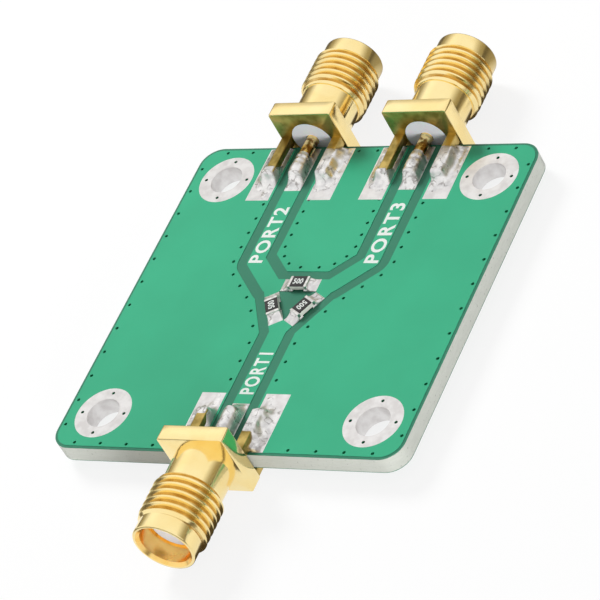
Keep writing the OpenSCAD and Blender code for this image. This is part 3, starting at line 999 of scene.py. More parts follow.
@dataclass
class CoaxJack:
    """One edge-launch coaxial jack: gold shell, insulator, contact and the solder that holds it."""

    port: Port
    board: Board
    flange_length: float = 1.55
    flange_corner: float = 0.25
    flange_steps: int = 10
    edge_break: float = 0.09
    neck_radius: float = 2.7
    neck_length: float = 3.0
    thread_radius: float = 3.175
    thread_length: float = 4.4
    thread_bevel: float = 0.4
    turns_per_inch: float = 36.0
    thread_depth: float = 0.42
    # Shares of half a pitch that are flat at the root and that are flank
    root_flat: float = 0.15
    flank: float = 0.62
    # Share of the depth past which the thread's skin is that of its root, which carries painted shade
    root_share: float = 0.45
    lead_radius: float = 2.85
    lip_round: float = 0.12
    lip_points: int = 5
    mouth_radius: float = 2.3
    mouth_flare: float = 0.28
    fit_gap: float = 0.01
    leg_width: float = 0.95
    # Heights of the upper and the lower legs
    leg_heights: tuple[float, float] = (1.0, 0.8)
    leg_across: float = 2.76
    seat_gap: float = 0.02
    pad_inset: float = 0.25
    # Near and far side of a ground pad and its length, and width and length of the signal pad
    ground_pad: tuple[float, float, float] = (2.1, 4.6, 6.4)
    signal_pad: tuple[float, float] = (1.75, 5.25)
    pin_radius: float = 0.6
    leg_joint: LegJoint = LegJoint()
    pin_joint: PinJoint = PinJoint()
    # Width of the barrel's shade on the table, as a share of its diameter
    shade_width: float = 1.1
    segments: int = 96
    rows_per_turn: int = 16

    def __post_init__(self) -> None:
        """Works out the jack's place from its solids."""
        shell = np.array(node_box(self.node("shell")))
        insulator = np.array(node_box(self.node("insulator")))
        contact = np.array(node_box(self.node("contact")))
        edge = self.board.half_length
        self.side = 1 if shell[1][1] > 0 else -1
        self.across = (shell[0][0] + shell[1][0]) / 2
        self.axis = (shell[0][2] + shell[1][2]) / 2
        self.flange_width = shell[1][0] - shell[0][0]
        self.start, self.insulator_end = (place - edge for place in sorted(abs(insulator[:, 1])))
        self.leg_end, self.mouth_end = (place - edge for place in sorted(abs(shell[:, 1])))
        self.bore_radius = (insulator[1][0] - insulator[0][0]) / 2 + self.fit_gap
        self.pin_end = min(abs(contact[:, 1])) - edge

    def node(self, piece: str) -> str:
        """Name of one of the jack's CAD nodes."""
        return f"{self.port.value}_jack_{piece}"

    def place(self, local: np.ndarray) -> np.ndarray:
        """Turns jack places, across, outwards from the board's edge and up from the axis, to the frame."""
        turned = np.asarray(local, float) * (self.side, self.side, 1)
        return turned + (self.across, self.side * self.board.half_length, self.axis)

    def on_face(self, face: Face, hand: int) -> Placing:
        """Placing for solder on one face, with the height counted from the pad and hand mirroring it.

        Args:
            face: The board's face.
            hand: 1 for the right side of the jack, -1 for the left.

        Returns:
            A function from pad places to the part's frame.
        """
        level = self.board.level(face) - self.axis
        return lambda local: self.place(np.asarray(local) * (hand, 1, face.value) + (0, 0, level))

    def turned_rows(self, profile: Iterable[tuple[float, float]]) -> np.ndarray:
        """Rings of a turned shape.

        Args:
            profile: Pairs of radius and place along the axis.

        Returns:
            A grid of points with the seam's column at both ends.
        """
        even = np.ones(self.segments + 1)
        return np.array([self.ring(radius * even, along * even) for radius, along in profile])

    def ring(self, radius: np.ndarray, along: np.ndarray) -> np.ndarray:
        """One ring of points from a radius and a place for each step of the turn."""
        angles = np.linspace(0, 2 * math.pi, self.segments + 1)
        return np.stack([radius * np.sin(angles), along, radius * np.cos(angles)], -1)

    def cut_thread(self, draft: MeshDraft, start: float, end: float) -> None:
        """Adds rows that follow the helix of a V-shaped thread with bevelled ends.

        Rows that run past an end gather on its ring, and the foot of the thread has a skin of its own,
        darkened with painted shade.

        Args:
            draft: The mesh to add to.
            start: Where the thread begins, outwards from the board's edge.
            end: Where it ends.
        """
        pitch = MM_PER_INCH / self.turns_per_inch
        root = self.thread_radius - self.thread_depth
        turn = np.linspace(0, 1, self.segments + 1)
        rows, depths = [], []
        count = math.ceil(((end - start) / pitch + 1) * self.rows_per_turn) + 1
        for row in range(count):
            phase = row / self.rows_per_turn
            from_root = abs((phase % 1) - 0.5) * 2
            depth = 1 - np.clip((from_root - self.root_flat) / self.flank, 0, 1)
            along = np.clip(start + (phase - 1 + turn) * pitch, start, end)
            envelope = np.minimum(
                self.thread_radius - self.thread_bevel + along - start,
                self.lead_radius + (end - along),
            )
            radius = np.minimum(self.thread_radius - self.thread_depth * depth, np.maximum(envelope, root))
            radius = np.where(along <= start, root, np.where(along >= end, self.lead_radius, radius))
            rows.append(self.ring(radius, along))
            depths.append(float(depth))
        for i in range(count - 1):
            deep = depths[i] + depths[i + 1] > 2 * self.root_share
            draft.mark = (ShellSkin.THREAD_ROOT if deep else ShellSkin.TURNED).value
            draft.skin(self.place(np.array(rows[i : i + 2])))
        draft.mark = ShellSkin.TURNED.value

    def build_shell(self) -> None:
        """Turned barrel with its thread, square flange and four legs, as one gold piece.

        The faces towards the board and the legs have gold darkened partly by flux and partly by painted
        shade, the mouth has gold with a painted reflection, and the thread's root has gold with painted
        shade.
        """
        draft = MeshDraft()
        flange_end = self.start + self.flange_length
        neck_end = flange_end + self.neck_length
        thread_end = neck_end + self.thread_length
        # Barrel and legs are rooted in the middle of the flange
        rooted = self.start + self.flange_length / 2
        root = self.thread_radius - self.thread_depth
        neck = [(self.neck_radius, rooted), (self.neck_radius, neck_end), (root, neck_end)]
        lip_radius, lip_start = self.lead_radius - self.lip_round, self.mouth_end - self.lip_round
        lead = [(self.lead_radius, thread_end)]
        for bend in np.linspace(0, math.pi / 2, self.lip_points):
            lead.append((
                lip_radius + self.lip_round * math.cos(bend), lip_start + self.lip_round * math.sin(bend)
            ))
        lead.append((self.mouth_radius + self.mouth_flare, self.mouth_end))
        mouth = [
            lead[-1], (self.mouth_radius, self.mouth_end - self.mouth_flare),
            (self.mouth_radius, self.insulator_end), (self.bore_radius, self.insulator_end),
            (self.bore_radius, rooted), (self.neck_radius, rooted),
        ]
        flange = self.flange_loops(flange_end)
        draft.skin(self.place(self.turned_rows(neck)))
        self.cut_thread(draft, neck_end, thread_end)
        draft.skin(self.place(self.turned_rows(lead)))
        draft.skin(self.place(flange[1:]), around=True)
        draft.mark = ShellSkin.MOUTH.value
        draft.skin(self.place(self.turned_rows(mouth)))
        draft.mark = ShellSkin.BOARD_SIDE.value
        draft.skin(self.place(flange[:2]), around=True)
        for hand in HANDS:
            for low, high in self.leg_spans():
                draft.lofted(self.place(rounded_bar(
                    (hand * self.leg_across - self.leg_width / 2, self.leg_end, low),
                    (hand * self.leg_across + self.leg_width / 2, rooted, high),
                    self.edge_break,
                )))
        finishes = [SHELL_FINISHES[skin] for skin in ShellSkin]
        draft.piece(self.node("gold_shell"), "gold", finishes, [self.node("shell")])

    def leg_spans(self) -> list[tuple[float, float]]:
        """Reach of the legs over and under the board.

        Returns:
            Lowest and highest place of an upper and of a lower leg, from the jack's axis.
        """
        top = self.board.level(Face.TOP) + self.seat_gap - self.axis
        bottom = self.board.level(Face.BOTTOM) - self.seat_gap - self.axis
        return [(top, top + self.leg_heights[0]), (bottom - self.leg_heights[1], bottom)]

    def flange_outline(self, inset: float) -> np.ndarray:
        """Points once round the square flange, drawn in by an inset."""
        width = self.flange_width - 2 * inset
        return rounded_rectangle(width, width, self.flange_corner - inset, side=self.flange_steps)

    def flange_loops(self, flange_end: float) -> np.ndarray:
        """Loops round the section of the square flange, from its bore over the rim and back.

        Args:
            flange_end: Outer face of the flange.

        Returns:
            A grid of points that closes on itself.
        """
        rim = self.edge_break
        half = rim * (1 - math.sqrt(0.5))
        outer, between, inner = (self.flange_outline(inset) for inset in (0.0, half, rim))
        angles = np.arctan2(outer[:, 1], outer[:, 0])
        bore = self.bore_radius * np.stack([np.cos(angles), np.sin(angles)], 1)
        section = [
            (bore, self.start), (inner, self.start),
            (between, self.start + half), (outer, self.start + rim),
            (outer, flange_end - rim), (between, flange_end - half),
            (inner, flange_end), (bore, flange_end), (bore, self.start),
        ]
        return np.array([np.insert(loop, 1, place, axis=1) for loop, place in section])

    def build_solder(self) -> None:
        """Solder along the four legs and over the pin's end, as one piece."""
        draft = MeshDraft()
        near, far, length = self.ground_pad
        sides = (self.leg_across - self.leg_width / 2, self.leg_across + self.leg_width / 2)
        pad = SolderPad(
            (near, -self.pad_inset - length), (far, -self.pad_inset), steep=(sides, (self.leg_end,))
        )
        for face, leg_height in zip(Face, self.leg_heights):
            for hand in HANDS:
                place = self.on_face(face, hand)
                bare = self.leg_joint.bare[1 if hand * self.side > 0 else 0]
                pad.flow(draft, functools.partial(self.leg_solder, leg_height, bare, place), place)
        draft.lofted(self.on_face(Face.TOP, 1)(self.pin_solder()))
        draft.piece(self.node("solder_joints"), "solder", [SOLDER], [self.node("solder")])

    def leg_solder(
        self, leg_height: float, bare: float, place: Placing, x: np.ndarray, y: np.ndarray
    ) -> np.ndarray:
        """Height of the solder that climbs a leg and covers its tip.

        Args:
            leg_height: Height of the leg above the pad.
            bare: Length of the leg that stays bare on top, from the board's edge.
            place: Turns pad places into the part's frame, where the unevenness is looked up.
            x: Places across the pad.
            y: Places along the pad, outwards from the board's edge.

        Returns:
            The height above the pad at each place.
        """
        form = self.leg_joint
        half = self.leg_width / 2 + form.coat / 2
        aside = np.maximum(np.abs(x - self.leg_across) - half, 0)
        ahead = np.maximum(self.leg_end - form.coat / 2 - y, 0)
        away = np.hypot(aside, ahead)
        world = place(np.stack([x, y, np.zeros_like(x)], -1))
        coarse, fine = lumps(world, form.lump), lumps(world, form.grain)
        foot = place(np.array([[self.leg_across, 0.0, 0.0]]))
        start = -bare + form.wander * lumps(foot, form.wander_lump)[0]
        over = smooth_step(start, start - form.climb, y)
        crest = leg_height * (form.low_crest + (1 - form.low_crest) * over) + form.coat * (2 * over - 1)
        reach = form.reach + form.reach_lumps * coarse
        rough = 1 + form.rough * fine * smooth_step(0, form.rough_from, away)
        fillet = crest * np.exp(-((away / reach) ** 2)) * rough
        crown = form.crown * over * (1 - np.clip(np.abs(x - self.leg_across) / half, 0, 1) ** 2)
        loss = form.loss * smooth_step(*form.loss_span, away + form.loss_lumps * coarse)
        film = form.film + form.film_lumps * coarse + form.film_grains * fine - loss
        return fillet + crown + film * smooth_step(0, form.film_from, away)

    def pin_solder(self) -> np.ndarray:
        """Loops across the solder that coats the pin's end and runs down to the end of its pad.

        Returns:
            An array of closed loops along the pin, with heights from the pad's face.
        """
        form = self.pin_joint
        pad_width, pad_length = self.signal_pad
        pad_end = -self.pad_inset - pad_length
        wet_end = self.pin_end + form.wet_length
        centre = self.axis - self.board.level(Face.TOP)
        loops = []
        span = np.sin(np.linspace(-math.pi / 2, math.pi / 2, form.points))
        for along in np.linspace(pad_end + form.rim, wet_end, form.loops):
            spot = np.array([[self.across, along, 0.0]])
            coarse = float(lumps(spot + form.lump_shift, form.lump)[0])
            fine = float(lumps(spot, form.grain)[0])
            uneven = form.lump_share * coarse + form.grain_share * fine
            dry = float(smooth_step(wet_end - form.drying, wet_end, along))
            past = float(smooth_step(self.pin_end + form.before_end, self.pin_end - form.past_end, along))
            thickness = form.coat + form.coat_lumps * uneven
            coat = self.pin_radius + thickness * (1 - dry) - form.dry_sink * dry
            foot = (pad_width / 2 - form.rim) * (1 - dry) + form.dry_foot * dry
            x = foot * span
            edge = form.edge * coat
            round_top = centre + np.sqrt(np.maximum(coat**2 - x**2, 0))
            if foot > edge:
                shoulder = centre + math.sqrt(coat**2 - edge**2)
                skirt = shoulder * np.clip((foot - np.abs(x)) / (foot - edge), 0, 1) ** form.skirt_power
                round_top = np.where(np.abs(x) > edge, skirt, round_top)
            run = np.clip((along - pad_end) / (self.pin_end - pad_end), 0, 1)
            sides = 1 - np.abs(span) ** form.side_power
            slope = (centre + coat) * run**form.slope_power * sides + form.film
            top = round_top * (1 - past) + slope * past
            upper = np.stack([x, np.full_like(x, along), np.maximum(top, 0.0)], -1)
            lower = np.array([[foot, along, -form.sink], [-foot, along, -form.sink]])
            loops.append(np.concatenate([upper, lower]))
        return np.array(loops)

    def footprint(self) -> tuple[np.ndarray, np.ndarray]:
        """Rectangle under the barrel, past its neck.

        Returns:
            Its lowest and highest X and Y.
        """
        inner = self.start + self.flange_length + self.neck_length
        reach = self.shade_width * self.thread_radius
        corners = [[-reach, inner, 0], [reach, self.mouth_end, 0]]
        ends = self.place(np.array(corners))[:, :2]
        return ends.min(0), ends.max(0)

    def dress(self) -> None:
        """Gives the pieces that stay as solids their finishes."""
        dress(self.node("insulator"), PTFE)
        dress(self.node("contact"), PIN_GOLD)


@dataclass
class ChipResistor:
    """One chip resistor of the triangle: ceramic body, end caps, black overcoat and its value."""

    number: int
    board: Board
    # Middle of the triangle, distance of a chip from it and turn from chip to chip
    middle: tuple[float, float] = (0.0, -0.75)
    reach: float = 1.85
    turn_step: float = 120.0
    length: float = 2.0
    width: float = 1.25
    seat_gap: float = 0.02
    cap_metal: float = 0.05
    cap_length: float = 0.28
    ceramic: float = 0.42
    # How far the ceramic's sides lie inside the caps'
    ceramic_inset: float = 0.01
    coat: float = 0.06
    edge_round: float = 0.05
    # Rounding of the overcoat and of the ceramic, as shares of that of the caps
    coat_round: float = 0.8
    ceramic_round: float = 0.5
    # Near and far end of a pad and its width
    pad: tuple[float, float, float] = (0.55, 1.9, 1.4)
    value: str = "500"
    print_size: tuple[float, float] = (1.0, 0.62)
    print_thickness: float = 0.006
    # Rim and grid of the solder, width of its lumps, distance over which it falls off from the cap, and
    # share of its height under the chip
    joint_rim: float = 0.14
    joint_grid: float = 0.05
    joint_lump: float = 0.6
    joint_reach: float = 0.3
    joint_under: float = 0.3
    # Height at the cap and thickness of the film past it, each with what lumps add
    joint_height: tuple[float, float] = (0.36, 0.08)
    joint_film: tuple[float, float] = (0.05, 0.03)

    def place(self, local: np.ndarray) -> np.ndarray:
        """Turns chip places into the frame.

        Args:
            local: Places along the chip, across it and up from the pads.

        Returns:
            The places in the frame.
        """
        turn = math.radians(self.turn_step * (self.number - 1))
        x, y, z = np.moveaxis(np.asarray(local, float), -1, 0)
        y = y + self.reach
        return np.stack([
            self.middle[0] + x * math.cos(turn) - y * math.sin(turn),
            self.middle[1] + x * math.sin(turn) + y * math.cos(turn),
            self.board.top + z,
        ], -1)

    def at_end(self, hand: int) -> Placing:
        """Placing for solder at one end of the chip, 1 or -1."""
        return lambda local: self.place(np.asarray(local) * (hand, 1, 1))

    def node(self, piece: str) -> str:
        """Name of one of the resistor's CAD nodes."""
        return f"resistor_{self.number}_{piece}"

    def build(self) -> None:
        """Ceramic, caps and overcoat as rounded pieces, then the printed value."""
        half, side, low = self.length / 2, self.width / 2, self.seat_gap
        high = low + 2 * self.cap_metal + self.ceramic
        body = MeshDraft()
        body.lofted(self.place(rounded_bar(
            (-half + self.cap_metal, -side + self.ceramic_inset, low + self.cap_metal),
            (half - self.cap_metal, side - self.ceramic_inset, high - self.cap_metal),
            self.edge_round * self.ceramic_round,
        )))
        body.piece(self.node("ceramic"), "alumina", [ALUMINA], [self.node("substrate")])
        caps = MeshDraft()
        for hand in HANDS:
            left, right = sorted((hand * half, hand * (half - self.cap_length)))
            caps.lofted(self.place(rounded_bar((left, -side, low), (right, side, high), self.edge_round)))
        caps.piece(self.node("end_caps"), "terminal", [CAP], [self.node("terminals")])
        coat = MeshDraft()
        top = low + self.cap_metal + self.ceramic + self.coat
        coat.lofted(self.place(rounded_bar(
            (-half + self.cap_length, -side + self.coat / 3, top - 2 * self.coat),
            (half - self.cap_length, side - self.coat / 3, top),
            self.edge_round * self.coat_round,
        )))
        coat.piece(self.node("glass_coat"), "overcoat", [OVERCOAT], [self.node("overcoat")])
        across = Vector(self.place(np.array([1.0, 0.0, 0.0])) - self.place(np.zeros(3)))
        Lettering(self.value, self.print_size, self.print_thickness).build(
            self.node("value"), self.place(np.array([0.0, 0.0, top])), across
        )

    def solder(self, draft: MeshDraft) -> None:
        """Adds the solder at both ends of the chip.

        Args:
            draft: The mesh that takes the solder of all three chips.
        """
        near, far, width = self.pad
        pad = SolderPad((near, -width / 2), (far, width / 2), rim=self.joint_rim, grid=self.joint_grid)
        for hand in HANDS:
            place = self.at_end(hand)
            pad.flow(draft, functools.partial(self.fillet, place), place)

    def fillet(self, place: Placing, x: np.ndarray, y: np.ndarray) -> np.ndarray:
        """Height of the solder that climbs an end cap.

        Args:
            place: Turns pad places into the part's frame, where the unevenness is looked up.
            x: Places along the chip.
            y: Places across it.

        Returns:
            The height above the pad at each place.
        """
        away = np.hypot(np.maximum(x - self.length / 2, 0), np.maximum(np.abs(y) - self.width / 2, 0))
        world = place(np.stack([x, y, np.zeros_like(x)], -1))
        uneven = lumps(world, self.joint_lump)
        under = np.where(np.abs(x) < self.length / 2, self.joint_under, 1.0)
        height, height_lumps = self.joint_height
        film, film_lumps = self.joint_film
        climb = under * (height + height_lumps * uneven) * np.exp(-away / self.joint_reach)
        return climb + film + film_lumps * uneven


@dataclass
class Lettering:
    """Plain raised print, sized to a given length and height."""

    text: str
    size: tuple[float, float]
    thickness: float
    # Boldness and spacing of the letters, as shares of the font's own size
    weight: float = 0.02
    spacing: float = 1.05
    curve_steps: int = 4

    def build(self, name: str, middle: np.ndarray, along: Vector) -> None:
        """Makes the print on a level face.

        Args:
            name: The piece's name.
            middle: Middle of the print, on the face, in millimetres.
            along: Direction in which the text runs.
        """
        # Drawn one unit deep at the font's own size, and brought to size afterwards
        curve = bpy.data.curves.new(name, "FONT")
        curve.body = self.text
        curve.size = 1.0
        curve.offset = self.weight
        curve.space_character = self.spacing
        curve.resolution_u = self.curve_steps
        curve.extrude = 0.5
        holder = put_in_scene(name, curve)
        bpy.context.view_layer.update()
        mesh = bpy.data.meshes.new_from_object(holder.evaluated_get(bpy.context.evaluated_depsgraph_get()))
        bpy.data.objects.remove(holder)
        bpy.data.curves.remove(curve)
        points = np.array([v.co for v in mesh.vertices])
        low, high = points.min(0), points.max(0)
        scale = np.array([*self.size, self.thickness]) / (high - low)
        run = along.normalized()
        turn = Matrix.Rotation(math.atan2(run.y, run.x), 4, "Z")
        centred = Matrix.Translation(-Vector((low + high) / 2))
        sized = Matrix.Diagonal((*(scale * MM), 1.0))
        mesh.transform(Matrix.Translation(Vector(middle) * MM) @ turn @ sized @ centred)
        mesh.materials.clear()
        finish_piece(mesh, name, [INK])


@dataclass
class PortLegend:
    """The white legend on the three lines, which runs along +Y and is read from the +X side."""

    board: Board
    height: float = 1.5
    thickness: float = 0.02
    weight: float = 0.025
    spacing: float = 1.2
    # Each label's port, text, middle and length
    labels: tuple[tuple[Port, str, tuple[float, float], float], ...] = (
        (Port.INPUT, "PORT1", (0.0, -9.1), 4.7),
        (Port.OUTPUT_1, "PORT2", (-6.1, 7.1), 6.75),
        (Port.OUTPUT_2, "PORT3", (6.1, 7.3), 7.15),
    )

    def build(self) -> None:
        """Prints one label on each line."""
        for port, text, spot, length in self.labels:
            lettering = Lettering(text, (length, self.height), self.thickness, self.weight, self.spacing)
            lettering.build(f"legend_{port.value}", np.array([*spot, self.board.top]), Vector((0, 1, 0)))


@dataclass
class Studio:
    """White table, soft light from the left and a camera where the photograph was taken."""

    aim: tuple[float, float, float] = (0.69, -0.63, 2.73)
    distance: float = 306.8
    azimuth: float = 45.24
    elevation: float = 38.62
    roll: float = -31.64
    lens: float = 210.93
    sensor: float = 36.0
    near_clip: float = 10.0
    floor_size: float = 3000.0
    # Gap between the table and the undersides of the flanges
    floor_gap: float = 0.02
    sheet: str = "#FDFDFD"
    # How far the table is simply white to the camera
    white_share: float = 0.86
    # What the metal sees of the table: distance from the middle, colour, and how far that covers the
    # lit sheet. The pool of light has a middle of its own, and distances across it count for less than
    # along it.
    dim_reach: float = 60.0
    pool_middle: tuple[float, float] = (5.0, -3.0)
    pool_squeeze: float = 0.75
    dimming: tuple[tuple[float, str, float], ...] = (
        (28.5, "#FFFFFF", 0.85), (30.5, "#FFFFFF", 0.0), (31.0, "#A39A80", 0.0), (35.0, "#8F8568", 0.9),
        (48.0, "#564D38", 0.95),
    )
    ambient: float = 0.3
    key_watts: float = 3.0
    key_place: tuple[float, float, float] = (-336.0, 252.0, 364.0)
    key_size: float = 220.0
    fill_watts: float = 1.7
    fill_place: tuple[float, float, float] = (330.0, -375.0, 60.0)
    fill_size: float = 200.0
    card_place: tuple[float, float, float] = (-278.0, 275.0, 312.0)
    card_radius: float = 260.0
    card_strength: float = 1.12
    card_points: int = 64
    screen_radius: float = 380.0
    screen_height: float = 220.0
    screen_arc: tuple[float, float] = (5.0, 175.0)
    screen_points: int = 49
    # Colour of the screen's foot, and the share of its height at which white begins to mix in
    room: str = "#A39A80"
    room_share: float = 0.3
    # Colour under a barrel, and the share of its width that is in full shade
    shade_colour: str = "#4A4232"
    shade_core: float = 0.8

    def build(self) -> None:
        """Sets up the camera, the world, the table, the lamps and what only the metal sees."""
        self.camera()
        self.world()
        self.floor()
        self.lamp("key", self.key_place, self.key_size, self.key_watts)
        self.lamp("fill", self.fill_place, self.fill_size, self.fill_watts)
        self.card()
        self.horizon()
        bpy.context.scene.view_settings.view_transform = "Standard"

    def camera(self) -> None:
        """Places the camera by its azimuth, elevation and roll about the aim."""
        turn, rise = math.radians(self.azimuth), math.radians(self.elevation)
        back = Vector((math.sin(turn) * math.cos(rise), -math.cos(turn) * math.cos(rise), math.sin(rise)))
        level = Vector((math.cos(turn), math.sin(turn), 0))
        upright = back.cross(level)
        roll = math.radians(self.roll)
        right = level * math.cos(roll) + upright * math.sin(roll)
        up = back.cross(right)
        data = bpy.data.cameras.new("camera")
        data.lens = self.lens
        data.sensor_width = self.sensor
        data.clip_start = self.near_clip * MM
        camera = put_in_scene("camera", data)
        place = (Vector(self.aim) + back * self.distance) * MM
        camera.matrix_world = Matrix.Translation(place) @ Matrix((right, up, back)).transposed().to_4x4()
        bpy.context.scene.camera = camera

    @staticmethod
    def straight(tree: bpy.types.NodeTree) -> bpy.types.NodeSocket:
        """Tells what the camera sees itself or through something clear from the rest.

        Args:
            tree: The node tree.

        Returns:
            A socket that gives 1 for the first and 0 for the second.
        """
        path = add_node(tree, "ShaderNodeLightPath").outputs
        rays = {0: path["Is Camera Ray"], 1: path["Is Transmission Ray"]}
        return add_node(tree, "ShaderNodeMath", rays, operation="MAXIMUM").outputs[0]

    @staticmethod
    def mirrored(tree: bpy.types.NodeTree) -> bpy.types.NodeSocket:
        """Tells what the camera sees in a shiny surface from light that falls on the object.

        Args:
            tree: The node tree.

        Returns:
            A socket that gives 1 for the first and 0 for the second.
        """
        path = add_node(tree, "ShaderNodeLightPath").outputs
        # The depth counts the matt surfaces on the way, so that less than a half is none
        first = add_node(tree, "ShaderNodeMath", {0: path["Diffuse Depth"], 1: 0.5}, operation="LESS_THAN")
        rays = {0: path["Is Glossy Ray"], 1: first.outputs[0]}
        return add_node(tree, "ShaderNodeMath", rays, operation="MULTIPLY").outputs[0]

    def world(self) -> None:
        """A white surround for the camera and for reflections, and an even fill for everything else."""
        world = bpy.data.worlds.new("white_surround")
        world.use_nodes = True
        tree = world.node_tree
        tree.nodes.clear()
        looked = add_node(
            tree, "ShaderNodeMath", {0: self.straight(tree), 1: self.mirrored(tree)}, operation="MAXIMUM"
        )
        strength = add_node(
            tree, "ShaderNodeMapRange", {"Value": looked.outputs[0], "To Min": self.ambient, "To Max": 1.0}
        )
        surround = add_node(
            tree, "ShaderNodeBackground", {"Color": WHITE, "Strength": strength.outputs["Result"]}
        )
        add_node(tree, "ShaderNodeOutputWorld", {"Surface": surround.outputs[0]})
        bpy.context.scene.world = world

    def floor(self) -> None:
        """A white table under the flanges that keeps a soft share of the object's shadow."""
        half, low = self.floor_size / 2, CAD_BOX[0].z / MM - self.floor_gap
        draft = MeshDraft()
        draft.cap(np.array([[x * half, y * half, low] for x, y in ((-1, -1), (1, -1), (1, 1), (-1, 1))]))
        material = bare_material("white_table")
        tree = material.node_tree
        sheet = add_node(tree, "ShaderNodeBsdfDiffuse", {"Color": to_linear(self.sheet)})
        place = add_node(tree, "ShaderNodeTexCoord").outputs["Object"]
        scale = Vector((self.pool_squeeze, 1, 1))
        shift = Vector((*self.pool_middle, 0)) * scale * -MM
        pool = add_node(tree, "ShaderNodeMapping", {"Vector": place, "Location": shift, "Scale": scale})
        away = add_node(tree, "ShaderNodeVectorMath", {0: pool.outputs[0]}, operation="LENGTH")
        share = add_node(
            tree, "ShaderNodeMapRange", {"Value": away.outputs["Value"], "From Max": self.dim_reach * MM}
        )
        ramp = add_node(tree, "ShaderNodeValToRGB", {"Fac": share.outputs["Result"]})
        for _ in self.dimming[2:]:
            ramp.color_ramp.elements.new(0.5)
        for stop, (spot, colour, weight) in zip(ramp.color_ramp.elements, self.dimming):
            stop.position = spot / self.dim_reach
            stop.color = (*to_linear(colour)[:3], weight)
        dim = add_node(tree, "ShaderNodeEmission", {"Color": ramp.outputs["Color"], "Strength": 1.0})
        in_metal = add_node(
            tree, "ShaderNodeMath", {0: self.mirrored(tree), 1: ramp.outputs["Alpha"]}, operation="MULTIPLY"
        )
        to_camera = add_node(
            tree, "ShaderNodeMath", {0: self.straight(tree), 1: self.white_share}, operation="MULTIPLY"
        )
        glow = add_node(tree, "ShaderNodeEmission", {"Color": WHITE, "Strength": 1.0})
        lit = add_node(
            tree, "ShaderNodeMixShader", {0: in_metal.outputs[0], 1: sheet.outputs[0], 2: dim.outputs[0]}
        )
        mixed = add_node(
            tree, "ShaderNodeMixShader", {0: to_camera.outputs[0], 1: lit.outputs[0], 2: glow.outputs[0]}
        )
        # Clear from below, so that the underside can be looked at
        under = add_node(tree, "ShaderNodeNewGeometry").outputs["Backfacing"]
        clear = add_node(tree, "ShaderNodeBsdfTransparent")
        sided = add_node(tree, "ShaderNodeMixShader", {0: under, 1: mixed.outputs[0], 2: clear.outputs[0]})
        add_node(tree, "ShaderNodeOutputMaterial", {"Surface": sided.outputs[0]})
        self.prop("table", draft, material)

    @staticmethod
    def prop(name: str, draft: MeshDraft, material: bpy.types.Material) -> bpy.types.Object:
        """Makes a piece of the studio.

        Args:
            name: The object's name.
            draft: Its points and faces.
            material: Its material.

        Returns:
            The new object.
        """
        mesh = draft.mesh(name)
        mesh.materials.append(material)
        return put_in_scene(name, mesh)

    @staticmethod
    def hang(thing: bpy.types.Object, place: tuple[float, float, float], front: str) -> None:
        """Hangs an object so that its front looks at the origin.

        Args:
            thing: The object.
            place: Where it hangs.
            front: The axis of its front.
        """
        thing.location = Vector(place) * MM
        thing.rotation_mode = "QUATERNION"
        thing.rotation_quaternion = (-thing.location).to_track_quat(front, "Y")

    def lamp(self, name: str, place: tuple[float, float, float], size: float, watts: float) -> None:
        """Adds a round soft lamp that looks at the object. The white surround stands for it in the metal.

        Args:
            name: The lamp's name.
            place: Where it hangs.
            size: Its diameter.
            watts: Its power.
        """
        data = bpy.data.lights.new(name, "AREA")
        data.shape = "DISK"
        data.size = size * MM
        data.energy = watts
        lamp = put_in_scene(name, data)
        self.hang(lamp, place, "-Z")
        lamp.visible_glossy = False

    def card(self) -> None:
        """A soft card over the left shoulder, brighter than the surround and seen only in the metal."""
        turn = np.linspace(0, 2 * math.pi, self.card_points, endpoint=False)
        draft = MeshDraft()
        draft.cap(self.card_radius * np.stack([np.cos(turn), np.sin(turn), np.zeros_like(turn)], -1))
        material = bare_material("soft_card")
        tree = material.node_tree
        place = add_node(tree, "ShaderNodeTexCoord").outputs["Object"]
        away = add_node(tree, "ShaderNodeVectorMath", {0: place}, operation="LENGTH").outputs["Value"]
        strength = add_node(
            tree,
            "ShaderNodeMapRange",
            {"Value": away, "From Max": self.card_radius * MM, "To Min": self.card_strength, "To Max": 1.0},
            interpolation_type="SMOOTHSTEP",
        )
        glow = add_node(
            tree, "ShaderNodeEmission", {"Color": WHITE, "Strength": strength.outputs["Result"]}
        )
        add_node(tree, "ShaderNodeOutputMaterial", {"Surface": glow.outputs[0]})
        self.hang(self.mirrored_prop("card", draft, material), self.card_place, "Z")

    def horizon(self) -> None:
        """A low grey screen behind the table, seen only in the metal, as an unlit room is."""
        turn = np.radians(np.linspace(*self.screen_arc, self.screen_points))
        x, y = self.screen_radius * np.cos(turn), self.screen_radius * np.sin(turn)
        rows = [np.stack([x, y, np.full_like(turn, z)], -1) for z in (0.0, self.screen_height)]
        draft = MeshDraft()
        draft.skin(np.array(rows))
        material = bare_material("unlit_room")
        tree = material.node_tree
        place = add_node(tree, "ShaderNodeTexCoord").outputs["Object"]
        height = add_node(tree, "ShaderNodeSeparateXYZ", {"Vector": place}).outputs["Z"]
        share = add_node(
            tree, "ShaderNodeMapRange", {"Value": height, "From Max": self.screen_height * MM}
        )
        ramp = add_node(tree, "ShaderNodeValToRGB", {"Fac": share.outputs["Result"]})
        stops = ((self.room_share, to_linear(self.room)), (1.0, WHITE))
        for stop, (spot, colour) in zip(ramp.color_ramp.elements, stops):
            stop.position = spot
            stop.color = colour
        glow = add_node(tree, "ShaderNodeEmission", {"Color": ramp.outputs["Color"], "Strength": 1.0})
        add_node(tree, "ShaderNodeOutputMaterial", {"Surface": glow.outputs[0]})
        self.mirrored_prop("screen", draft, material)

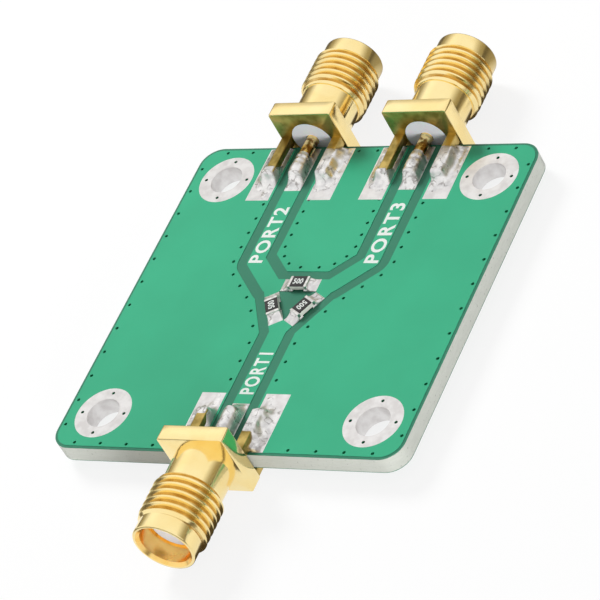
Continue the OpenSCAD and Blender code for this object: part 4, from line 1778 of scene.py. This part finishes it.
    def shade(self, name: str, low: np.ndarray, high: np.ndarray) -> None:
        """Deep shade on the table close under a barrel, seen only in the metal.

        Args:
            name: Name of what casts it.
            low: Its lowest corner along X and Y.
            high: Its highest corner along X and Y.
        """
        wide, long = (high - low) / 2
        draft = MeshDraft()
        draft.cap(np.array([[x * wide, y * long, 0.0] for x, y in ((-1, -1), (1, -1), (1, 1), (-1, 1))]))
        material = bare_material("contact_shade")
        tree = material.node_tree
        place = add_node(tree, "ShaderNodeTexCoord").outputs["Object"]
        across = add_node(tree, "ShaderNodeSeparateXYZ", {"Vector": place}).outputs["X"]
        away = add_node(tree, "ShaderNodeMath", {0: across}, operation="ABSOLUTE")
        share = add_node(
            tree,
            "ShaderNodeMapRange",
            {"Value": away.outputs[0], "From Min": self.shade_core * wide * MM, "From Max": wide * MM},
            interpolation_type="SMOOTHSTEP",
        )
        glow = add_node(
            tree, "ShaderNodeEmission", {"Color": to_linear(self.shade_colour), "Strength": 1.0}
        )
        clear = add_node(tree, "ShaderNodeBsdfTransparent")
        mixed = add_node(
            tree,
            "ShaderNodeMixShader",
            {0: share.outputs["Result"], 1: glow.outputs[0], 2: clear.outputs[0]},
        )
        add_node(tree, "ShaderNodeOutputMaterial", {"Surface": mixed.outputs[0]})
        prop = self.mirrored_prop(f"shade_under_{name}", draft, material)
        prop.location = Vector((*(low + high) / 2, 0.0)) * MM

    def mirrored_prop(
        self, name: str, draft: MeshDraft, material: bpy.types.Material
    ) -> bpy.types.Object:
        """Makes a piece of the studio that shows in the metal and nowhere else.

        Args:
            name: The object's name.
            draft: Its points and faces.
            material: Its material.

        Returns:
            The new object.
        """
        prop = self.prop(name, draft, material)
        prop.visible_camera = False
        prop.visible_diffuse = False
        prop.visible_transmission = False
        prop.visible_shadow = False
        return prop


def main() -> None:
    """Sets up the studio, builds and dresses every piece, and logs each piece's faces and finishes."""
    logging.basicConfig(level=logging.INFO, format="%(name)s %(message)s")
    studio = Studio()
    studio.build()
    board = Board()
    board.dress()
    for port in Port:
        jack = CoaxJack(port, board)
        jack.build_shell()
        jack.build_solder()
        jack.dress()
        studio.shade(port.value, *jack.footprint())
    joints = MeshDraft()
    for number in (1, 2, 3):
        resistor = ChipResistor(number, board)
        resistor.build()
        resistor.solder(joints)
    joints.piece("resistor_solder_joints", "solder", [SOLDER], ["resistor_solder"])
    PortLegend(board).build()


if __name__ == "__main__":
    main()
